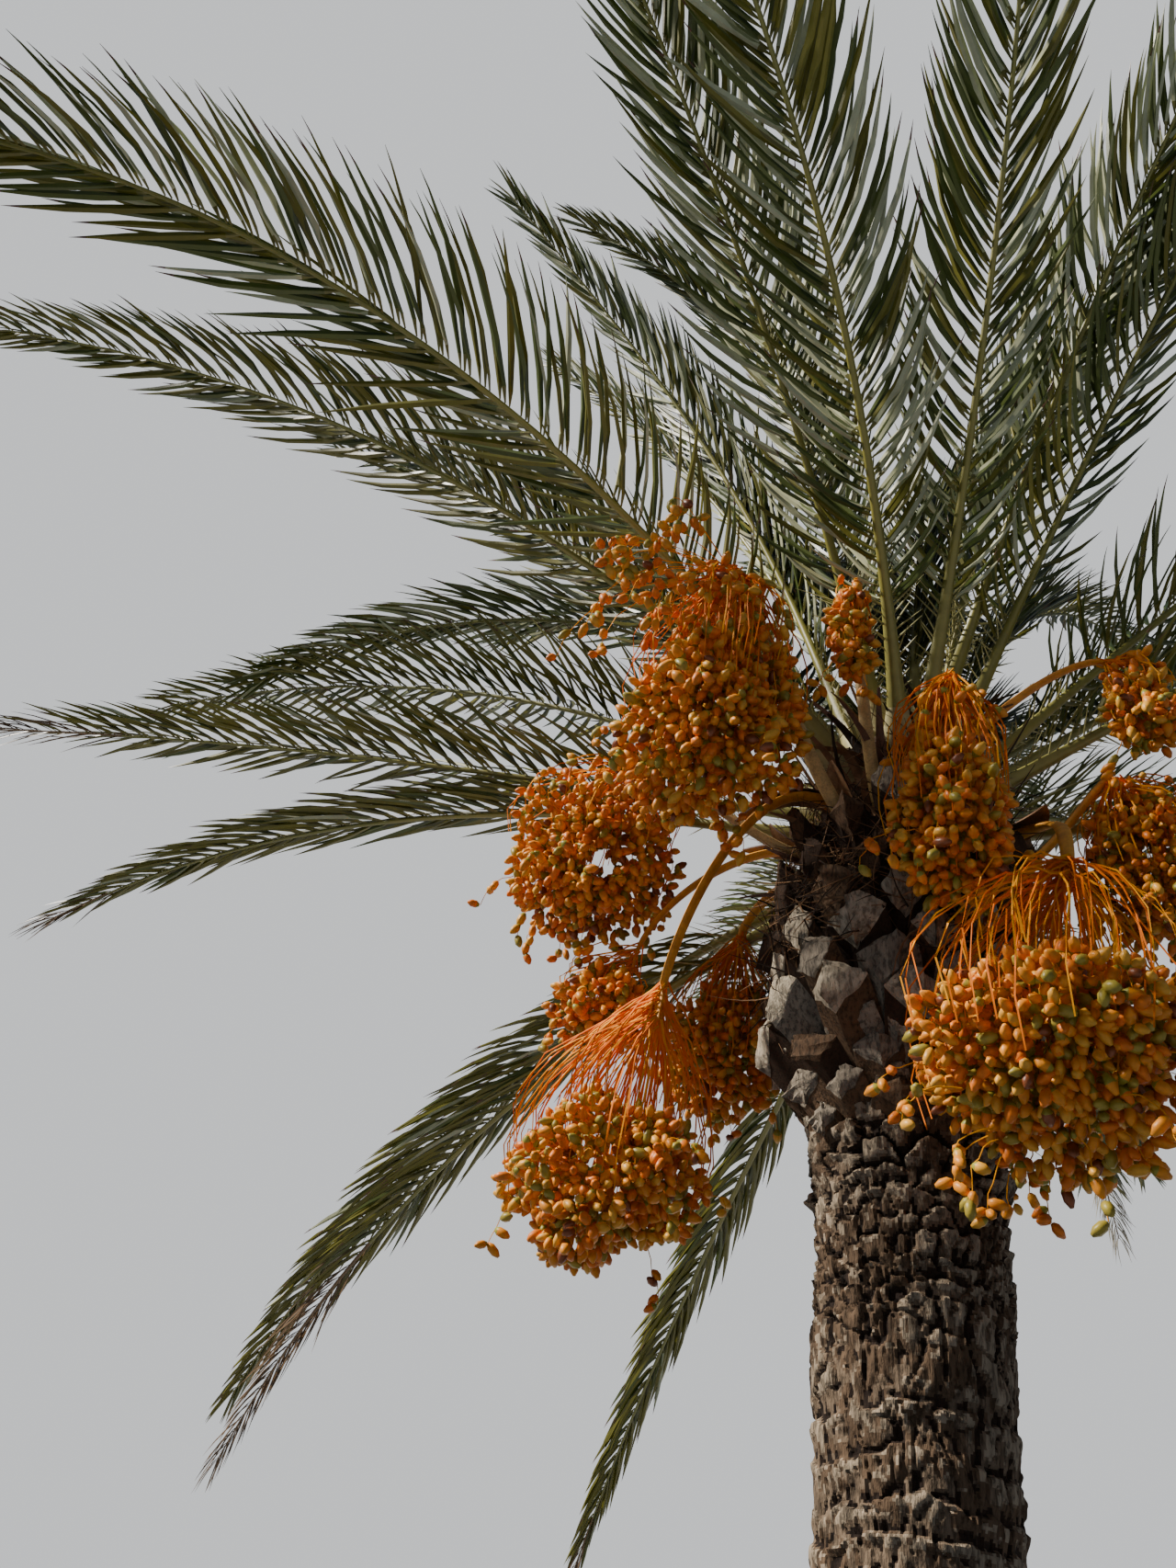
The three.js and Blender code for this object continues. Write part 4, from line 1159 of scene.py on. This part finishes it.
def plates(turn, height, columns, cell, rng):
    """Staggered plates round the trunk: how far each point is from its plate's edge in metres, how far up its
    plate it lies from -1 to 1, and a random number for each plate"""
    rows = int(height.max() / cell) + 5
    jitter = rng.uniform(-PLATE_JITTER, PLATE_JITTER, (rows, columns, 2))
    value = rng.random((rows, columns))
    x, y = turn * columns, height / cell + 2
    ix, iy = np.floor(x).astype(int), np.floor(y).astype(int)
    best = np.full(turn.shape, 9.0)
    second = best.copy()
    up, own = np.zeros_like(best), np.zeros_like(best)
    wide = GIRTH / columns
    for down in (-1, 0, 1):
        for over in (-2, -1, 0, 1, 2):
            row = np.clip(iy + down, 0, rows - 1)
            column = (ix + over) % columns
            dx = x - (ix + over + 0.5 * (row % 2) + 0.25 + jitter[row, column, 0])
            dy = y - (iy + down + 0.5 + jitter[row, column, 1])
            far = np.hypot(dx * wide, dy * cell)
            nearer = far < best
            second = np.where(nearer, best, np.minimum(second, far))
            best = np.where(nearer, far, best)
            up = np.where(nearer, dy * 2, up)
            own = np.where(nearer, value[row, column], own)
    return (second - best) / 2, up, own


def trunk_point(turn, height, radius):
    angle = -turn * 2 * math.pi
    fade = np.maximum(0, 1 - height / FLARE_HEIGHT)
    radius = radius * (1 + FLARE_DEPTH * fade * np.sin(FLARE_LOBES * angle))
    return np.stack([radius * np.cos(angle) + math.tan(LEAN) * height, radius * np.sin(angle), height], -1)


def zone(height, low, high, soft=0.05):
    return ease((height - low) / soft + 0.5) * ease((high - height) / soft + 0.5)


def cracks(turn, height, columns, cell, width, rng):
    """1 along thin wandering lines and 0 between them"""
    level = np.abs(value_noise(turn, height, columns, cell, rng) - 0.5)
    return ease(1 - level / width)


def wandering(turn, height, rng):
    """The turn and height shifted about, so that what is laid out on them has no straight edge"""
    shifted = []
    for place, layers in ((turn, TURN_WANDER), (height, HEIGHT_WANDER)):
        for columns, cell, size in layers:
            place = place + size * (value_noise(turn, height, columns, cell, rng) - 0.5)
        shifted.append(place)
    return shifted


def woody_lips(turn, height, rng, plate=(12, 0.050), fold=(34, 0.016), depth=0.020, edge=0.006,
               jut=0.009, crumple=0.012, level=0.026):
    """Wide crumpled ledges, each jutting most at its upper edge, with deep slots between them"""
    gap, up, own = plates(turn, height, *plate, rng)
    folds = value_noise(turn, height, *fold, rng) - 0.5
    return depth * ease(gap / edge) + depth * own + jut * np.clip(up, -1.2, 1.2) + crumple * folds - level


def split_plates(turn, height, rng, plate, depth, edge, own_depth, tilt, split, split_depth, level):
    """Plates with soft edges, each standing and tilted its own way, with thin splits across them"""
    gap, up, own = plates(turn, height, *plate, rng)
    splits = cracks(turn, height, *split, rng)
    return depth * ease(gap / edge) + own_depth * own + tilt * up - split_depth * splits - level


def blocky_plates(turn, height, rng):
    return split_plates(turn, height, rng, plate=(25, 0.052), depth=0.009, edge=0.003, own_depth=0.008,
                        tilt=0.005, split=(30, 0.07, 0.06), split_depth=0.009, level=0.010)


def long_plates(turn, height, rng):
    return split_plates(turn, height, rng, plate=(13, 0.15), depth=0.007, edge=0.006, own_depth=0.010,
                        tilt=0.003, split=(26, 0.16, 0.10), split_depth=0.011, level=0.007)


def ring_ledges(turn, height, rng, depth=0.009, variety=(11, 0.07), least=0.3, crack=(58, 0.085, 0.13),
                crack_places=(16, 0.06), crack_depth=0.007, level=0.005):
    """Worn leaf scars: wavy ledges round the stem, with short upright cracks between them"""
    place = (height + layered(turn, height, RING_WAVES, rng)) / RING_SPACING % 1
    ledge = ease(place / 0.85) - ease((place - 0.9) / 0.1)
    strength = least + value_noise(turn, height, *variety, rng)
    lines = cracks(turn, height, *crack, rng)
    lines = lines * ease((value_noise(turn, height, *crack_places, rng) - 0.3) / 0.2)
    return depth * ledge * strength - crack_depth * lines - level


def bark_relief(turn, height, rng):
    """Relief of the stem in metres, in four bands from the crown down"""
    x, y = wandering(turn, height, rng)
    relief = (
        woody_lips(x, y, rng) * zone(y, BLOCKY_TOP, LIPS_TOP)
        + blocky_plates(x, y, rng) * zone(y, LONG_TOP, BLOCKY_TOP)
        + long_plates(x, y, rng) * zone(y, LEDGES_TOP, LONG_TOP)
        + ring_ledges(x, y, rng) * zone(y, UNDERGROUND, LEDGES_TOP)
    )
    relief -= FINE_CRACK_DEPTH * cracks(x, height, *FINE_CRACKS, rng)
    rough = layered(turn, height, BARK_ROUGHNESS, rng) - ROUGHNESS_LEVEL
    return RELIEF_SCALE * relief + ROUGHNESS_DEPTH * rough


def smoothed(values, reach):
    """Each value averaged with its neighbours round the trunk and up it"""
    count = 2 * reach + 1
    level = sum(np.roll(values, k - reach, axis=1) for k in range(count)) / count
    padded = np.pad(level, ((reach, reach), (0, 0)), mode="edge")
    return sum(padded[k:k + len(values)] for k in range(count)) / count


def face_average(values):
    """From values at the rings' corners to values on the faces between them"""
    ahead = np.roll(values, -1, axis=1)
    return (values[1:] + values[:-1] + ahead[1:] + ahead[:-1]) / 4


def build_bark():
    rng = np.random.default_rng(21)
    height = np.concatenate([
        np.arange(0, LOW_HEIGHT, LOW_ROW), np.arange(LOW_HEIGHT, BARK_TOP, BARK_ROW), [BARK_TOP]])
    turn, height = np.meshgrid(np.arange(BARK_COLUMNS) / BARK_COLUMNS, height)
    relief = bark_relief(turn, height, rng)
    radius = along(TRUNK_PROFILE, height) + relief * ease(height / FLAT_FOOT)
    standing = face_average(relief - smoothed(relief, STANDING_REACH))
    patch = face_average(layered(turn, height, BARK_PATCHES, rng))
    kind = Kind("trunk_bark", BARK_TONES)
    tone = np.full(standing.shape, BROWN_BARK)
    tone[patch > GREY_PATCH] = GREY_BARK
    # Painted highlight where a pale patch stands proud of its surroundings
    tone[(patch > PALE_PATCH) & (standing > HIGHLIGHT_STANDING)] = PALE_HIGHLIGHT_BARK
    # Painted shade where the bark sinks below its surroundings
    tone[standing < CREVICE_SHADE_STANDING] = CREVICE_SHADE
    kind.add(trunk_point(turn, height, radius)[None], tone[None])
    kind.build(["trunk"], crease=32)


def build_crown():
    """The stem inside the leaf bases, up to its tip"""
    rng = np.random.default_rng(22)
    turn, height = np.meshgrid(
        np.arange(CROWN_COLUMNS) / CROWN_COLUMNS, np.linspace(CROWN_FOOT, HEART_TIP - 0.01, CROWN_ROWS))
    rough = layered(turn, height, CROWN_LUMPS, rng) - ROUGHNESS_LEVEL
    radius = along(TRUNK_PROFILE + [(HEART_TIP, CROWN_TIP_RADIUS)], height)
    fade = ease((HEART_TIP - height) / CROWN_FADE)
    radius = np.maximum(radius - CROWN_SUNK + CROWN_ROUGHNESS * rough * fade, CROWN_THINNEST)
    kind = Kind("crown_heart", ["crown_brown"])
    kind.add(trunk_point(turn, height, radius)[None])
    kind.build()


# Leaf bases, worn, cut and young
BOOT_TONES = ["boot_grey", "boot_brown", "boot_dark", "boot_cut"]


def source_random(seed):
    """The source's random numbers"""
    state = seed
    while True:
        state = (state * 1664525 + 1013904223) % 4294967296
        yield state / 4294967296


def kite(points_per_edge):
    """Corners round a keeled kite, as right, top, left and keel weights"""
    corners = np.array([[1, 0], [0, 1], [-1, 0], [0, -1.0]])
    share = np.arange(points_per_edge) / points_per_edge
    return np.concatenate([mix(corners[i], corners[(i + 1) % 4], share[:, None]) for i in range(4)])


def narrowing(height):
    """0 at the foot of the swelling and 1 towards the crown"""
    return ease((height - NARROW_FROM) / NARROW_OVER)


def add_boot(kind, height, heading, reach, width, tone, rng, depth=1):
    """One cut leaf base: a keeled stump that widens to a rough face of two facets beside a ridge"""
    stump, side, stump_up = facing(heading, BOOT_RISE)
    cut, cut_side, cut_up = facing(heading + rng.normal(0, FACE_TURN), CUT_RISE - rng.uniform(0, FACE_DROP))
    foot = on_stem(height, heading, TRUNK_PROFILE)
    outline = kite(BOOT_EDGE_POINTS)
    diagonal = 1 - np.abs(np.abs(outline[:, 0]) - np.abs(outline[:, 1]))
    bulge = 1 + rng.uniform(*BOOT_BULGE) * diagonal
    groove = 1 + rng.normal(0, BOOT_GROOVES, len(outline))
    skew = rng.normal(0, BOOT_SKEW)

    def ring(centre, right, up, flare, depths):
        across = (outline[:, 0] * bulge + outline[:, 1] * skew) * groove * width * flare
        lift = outline[:, 1] * bulge * groove * np.where(outline[:, 1] > 0, *depths) * depth
        return centre + right * across[:, None] + up * lift[:, None]

    root = ring(foot - stump * BOOT_HALF_WIDTH, side, stump_up, BOOT_ROOT_FLARE, BOOT_ROOT)
    face_flare = BOOT_FACE_FLARE * rng.uniform(*FACE_FLARE_VARIETY)
    edge = ring(foot + stump * reach, cut_side, cut_up, face_flare, BOOT_FACE)
    edge = edge + cut * rng.normal(0, FACE_ROUGHNESS, len(outline))[:, None]
    middle = edge.mean(axis=0)
    aside = cut_side * rng.normal(0, RIDGE_ASIDE) * width
    ridge_place = aside + cut * rng.uniform(*RIDGE_HEIGHT) * depth
    ridge = middle + ridge_place + cut_up * ((edge - middle) @ cut_up * RIDGE_FLATNESS)[:, None]
    rings = [mix(root, edge, share) + rng.normal(0, BOOT_ROUGHNESS, root.shape) for share in STUMP_PLACES]
    rings.append(edge)
    rings += [mix(edge, ridge, inset) + rng.normal(0, BOOT_ROUGHNESS, root.shape) for inset in FACE_PLACES]
    stump_tone = rng.choice(3, p=mix(LOW_STUMPS, HIGH_STUMPS, narrowing(height)))
    tones = np.full((len(rings) - 1, len(outline)), stump_tone)
    tones[len(STUMP_PLACES) - 1:] = tone
    kind.add(np.array(rings)[None], tones[None])


def boot_tone(height, rng):
    """Pale cut faces at the foot of the swelling, browner and then dark towards the crown"""
    return rng.choice(4, p=mix(LOW_FACES, HIGH_FACES, ease((height - DARK_FACES_FROM) / DARK_FACES_OVER)))


def build_boots(ribs, bunches):
    rng = np.random.default_rng(31)
    rib_feet = [rib.point(np.linspace(0, RIB_FOOT_LENGTH, 8)) for rib in ribs]
    stalk_feet = [bunch.curve(np.linspace(0, STALK_FOOT_SHARE, 8)) for bunch in bunches]
    obstacles = np.concatenate(rib_feet + stalk_feet)
    kind = Kind("leaf_bases", BOOT_TONES)

    def clear(height, heading, reach):
        tip = on_stem(height, heading, TRUNK_PROFILE) + facing(heading, BOOT_RISE)[0] * reach
        return (np.linalg.norm(obstacles - tip, axis=1) > BOOT_CLEARANCE).all()

    for index in range(WORN_BOOTS):
        height = WORN_FOOT + index * WORN_STEP
        heading = index * GOLDEN_ANGLE + WORN_TURN
        reach = mix(*WORN_REACH, index / WORN_BOOTS) + rng.uniform(0, WORN_REACH_VARIETY)
        width = rng.uniform(*WORN_WIDTH)
        add_boot(kind, height, heading, reach, width, rng.choice(WORN_FACES), rng, WORN_DEPTH)
    for index in range(BOOTS):
        height = BOOT_FOOT + index * BOOT_STEP
        heading = index * GOLDEN_ANGLE
        vary = source_random(index + FIRST_SEED)
        reach = BOOT_REACH - along(TRUNK_PROFILE, height) + mix(*BOOT_REACH_VARIETY, next(vary))
        reach = reach / math.cos(math.radians(BOOT_RISE))
        width = BOOT_HALF_WIDTH * mix(*BOOT_WIDTH_VARIETY, next(vary)) * mix(1, NARROWEST, narrowing(height))
        if clear(height, heading, reach):
            add_boot(kind, height, heading, reach, width, boot_tone(height, rng), rng)
    for index in range(YOUNG_BOOTS):
        height = YOUNG_FOOT + index * YOUNG_STEP
        heading = index * GOLDEN_ANGLE + YOUNG_TURN
        reach = rng.uniform(*YOUNG_REACH)
        if clear(height, heading, reach):
            tone = rng.choice(4, p=YOUNG_FACES)
            add_boot(kind, height, heading, reach, rng.uniform(*YOUNG_WIDTH), tone, rng, YOUNG_DEPTH)
    kind.build()


# Fibres, dry sheaths and bracts
def add_strips(kind, rng):
    """Dry split sheaths that stand and curl between the feet of the fronds"""
    count = STRIPS
    height = rng.uniform(*STRIP_HEIGHTS, count)
    heading = rng.uniform(0, 360, count)
    forward, side, up = facing(heading, rng.uniform(*STRIP_RISE, count))
    start = on_stem(height, heading, HEART_PROFILE, -STRIP_SUNK)
    length = rng.uniform(*STRIP_LENGTH, count)
    share = np.linspace(0, 1, STRIP_POINTS)
    sideways = rng.normal(0, STRIP_CURL, (count, 1))
    curl = side * sideways + up * rng.normal(STRIP_DROOP, STRIP_CURL, (count, 1))
    wide = rng.uniform(*STRIP_WIDTH, (count, 1)) * (1 - 0.8 * share ** 1.5)
    tone = rng.choice(len(STRIP_SHARES), count, p=STRIP_SHARES)[:, None, None]
    path = curled(start, forward, curl, length, share)
    kind.add(tube(path, up[:, None], wide, 6, STRIP_FLATNESS), tone)


def build_fibres():
    """A mat of fine curly fibres among the leaf bases and round the crown, and the dry sheaths"""
    rng = np.random.default_rng(24)
    count = FIBRES
    height = rng.triangular(*FIBRE_HEIGHTS, count)
    heading = rng.uniform(0, 360, count)
    start = on_stem(height, heading, TRUNK_PROFILE, rng.uniform(*FIBRE_OUT, count))
    out = outward(heading)
    level = np.stack([-out[:, 1], out[:, 0], np.zeros(count)], -1)
    way = level * rng.normal(0, FIBRE_LEVEL_SPREAD, (count, 1))
    way = way + UPWARD * rng.normal(0, FIBRE_UP_SPREAD, (count, 1))
    way = unit(way + out * rng.normal(*FIBRE_OUTWARD, (count, 1)))
    curl = random_directions(rng, count) * rng.uniform(*FIBRE_CURL, (count, 1))
    length = rng.uniform(*FIBRE_LENGTH, count)
    path = curled(start, way, np.cross(way, curl), length, np.linspace(0, 1, len(FIBRE_RADII)), FIBRE_BEND)
    size = FIBRE_RADII[None] * rng.uniform(*FIBRE_VARIETY, (count, 1))
    kind = Kind("crown_fibres", ["fibre_brown", "fibre_dark", "spathe_brown", "spathe_inside"])
    tone = (rng.random(count) < 0.5).astype(int)[:, None, None]
    kind.add(tube(path, FIBRE_REFERENCE, size, 3), tone)
    add_strips(kind, rng)
    kind.build()


def add_spathe(kind, bunch, rng):
    """The dry boat-shaped bract on the upper side of a stalk's foot"""
    share = np.linspace(SPATHE_START, rng.uniform(*SPATHE_END), SPATHE_RINGS)
    place = np.linspace(0, 1, SPATHE_RINGS)
    path = bunch.curve(share)
    tangent = unit(np.gradient(path, axis=0))
    side = unit(np.cross(tangent, UPWARD) + bunch.side * 1e-3)
    up = np.cross(side, tangent)
    aside = rng.uniform(-SPATHE_ASIDE, SPATHE_ASIDE) * place
    path = path + up * (SPATHE_LIFT + SPATHE_RISE * place ** 2)[:, None] + side * aside[:, None]
    wide = SPATHE_HALF_WIDTH * np.sin(math.pi * (SPATHE_FOOT + SPATHE_RUN * place)) ** SPATHE_FULLNESS
    arc = np.linspace(-1, 1, SPATHE_POINTS)
    across = side[:, None] * (arc[None] * wide[:, None])[..., None]
    shell = []
    for layer in (SPATHE_HALF_THICKNESS, -SPATHE_HALF_THICKNESS):
        cup = up[:, None] * ((arc ** 2)[None] * wide[:, None] * SPATHE_CUP + layer)[..., None]
        shell.append(path[:, None] + across + cup)
    rings = np.concatenate([shell[0][:, ::-1], shell[1]], axis=1)
    kind.add(rings[None], np.repeat([0, 1], SPATHE_POINTS)[None, None])


def build_spathes(bunches):
    rng = np.random.default_rng(25)
    kind = Kind("spathes", ["spathe_brown", "spathe_inside"])
    for bunch in bunches:
        add_spathe(kind, bunch, rng)
    kind.build()


# Pieces of the crown
def build_fronds(ribs):
    numbers = range(1, len(ribs) + 1)
    names = [f"frond_{number:02d}" for number in numbers]
    third = len(ribs) // 3
    for k, part in enumerate("abc"):
        chosen = range(k * third, (k + 1) * third)
        kind = Kind(f"leaflets_{part}", LEAF_TONES)
        for i in chosen:
            add_leaflets(kind, ribs[i], i + 1, np.random.default_rng(100 + i))
        kind.build([names[i] for i in chosen], crease=35)
    kind = Kind("ribs", RIB_TONES)
    for i, rib in enumerate(ribs):
        add_rib(kind, rib, i + 1)
        add_spines(kind, rib, np.random.default_rng(200 + i))
    kind.build(crease=50)


BUNCH_GROUPS = {"a": (1, 2, 8, 9, 10, 13), "b": (3, 4, 5), "c": (6, 7, 11, 12)}


def build_fruit(bunches):
    strands = Kind("strands", STALK_TONES)
    for part, numbers in BUNCH_GROUPS.items():
        dates = Kind(f"dates_{part}", DATE_TONES)
        for number in numbers:
            rng = np.random.default_rng(300 + number)
            bunch = bunches[number - 1]
            add_stalk(strands, bunch, int(number in CREAM_STALKS))
            path = add_strands(strands, bunch, rng)
            limit = int(DATES_PER_AREA * bunch.area())
            add_dates(dates, *ball_dates(bunch, number, limit, OUTER_DEPTHS, rng), rng)
            inner = ball_dates(bunch, number, int(limit * INNER_SHARE), INNER_DEPTHS, rng)
            add_dates(dates, *inner, rng, INNER_STATIONS, INNER_RADII, INNER_SIDES)
            add_droppers(strands, dates, bunch, rng)
            if number in SHOULDER_DATES:
                add_dates(dates, *dates_on_strands(path, SHOULDER_DATES[number], rng), rng)
            if number == 1:
                ends = np.array(LOOSE_SPRAY * SPRAY_REPEATS + LOW_SPRAY)
                starts = np.broadcast_to(bunch.head, ends.shape)
                ends = ends + rng.normal(0, SPRAY_SPREAD, ends.shape)
                add_hanging(strands, dates, starts, ends, SPRAY_DATES, rng)
        dates.build([f"fruit_bunch_{number:02d}" for number in numbers], crease=80)
    strands.build(crease=50)


# Camera, light and floor
def build_camera():
    ahead = Vector((-math.sin(CAMERA_HEADING), math.cos(CAMERA_HEADING), 0))
    right = Vector((math.cos(CAMERA_HEADING), math.sin(CAMERA_HEADING), 0))
    above = Vector((0, 0, 1))
    view = ahead * math.cos(CAMERA_PITCH) + above * math.sin(CAMERA_PITCH)
    top = above * math.cos(CAMERA_PITCH) - ahead * math.sin(CAMERA_PITCH)
    x = right * math.cos(CAMERA_ROLL) + top * math.sin(CAMERA_ROLL)
    y = top * math.cos(CAMERA_ROLL) - right * math.sin(CAMERA_ROLL)
    camera = bpy.data.objects.new("camera", bpy.data.cameras.new("camera"))
    camera.data.lens = CAMERA_LENS
    camera.data.sensor_width = SENSOR_WIDTH
    camera.data.clip_end = VIEW_DISTANCE
    turn = Matrix((x, y, -view)).transposed()
    camera.matrix_world = Matrix.Translation(CAMERA_PLACE) @ turn.to_4x4()
    bpy.context.scene.collection.objects.link(camera)
    bpy.context.scene.camera = camera


def build_light():
    sun = bpy.data.objects.new("key", bpy.data.lights.new("key", "SUN"))
    sun.data.energy = SUN_ENERGY
    sun.data.angle = SUN_WIDTH
    sun.data.color = SUN_COLOUR
    toward = Vector(SUN_TOWARD)
    sun.rotation_euler = toward.to_track_quat("Z", "Y").to_euler()
    bpy.context.scene.collection.objects.link(sun)
    world = bpy.data.worlds.new("studio")
    world.use_nodes = True
    bpy.context.scene.world = world
    nodes, links = world.node_tree.nodes, world.node_tree.links
    fill = nodes["Background"]
    fill.inputs["Color"].default_value = FILL_COLOUR
    fill.inputs["Strength"].default_value = FILL_STRENGTH
    backdrop = nodes.new("ShaderNodeBackground")
    backdrop.inputs["Color"].default_value = BACKDROP_COLOUR
    backdrop.inputs["Strength"].default_value = BACKDROP_STRENGTH
    seen = nodes.new("ShaderNodeLightPath")
    both = nodes.new("ShaderNodeMixShader")
    links.new(seen.outputs["Is Camera Ray"], both.inputs["Fac"])
    links.new(fill.outputs["Background"], both.inputs[1])
    links.new(backdrop.outputs["Background"], both.inputs[2])
    links.new(both.outputs["Shader"], nodes["World Output"].inputs["Surface"])


def build_floor():
    """A pale floor that sends no light back up into the crown"""
    surface("floor_pale", (214, 212, 206), rough=0.8, spread=0.03, size=0.5, grain=0.01, relief=0.05)
    half = FLOOR_HALF_WIDTH
    mesh = bpy.data.meshes.new("floor")
    corners = [(-half, -half, 0), (half, -half, 0), (half, half, 0), (-half, half, 0)]
    mesh.from_pydata(corners, [], [(0, 1, 2, 3)])
    mesh.materials.append(bpy.data.materials["floor_pale"])
    floor = bpy.data.objects.new("floor", mesh)
    floor.visible_diffuse = False
    bpy.context.scene.collection.objects.link(floor)


def main():
    leaf_materials()
    rib_materials()
    bark_materials()
    leaf_base_materials()
    fibre_materials()
    fruit_materials()
    ribs = [Rib(*row) for row in SEEN_FRONDS + list(far_fronds())]
    bunches = [Bunch(*row) for row in BUNCHES]
    build_bark()
    build_crown()
    build_boots(ribs, bunches)
    build_fibres()
    build_spathes(bunches)
    build_fronds(ribs)
    build_fruit(bunches)
    build_camera()
    build_light()
    build_floor()


main()
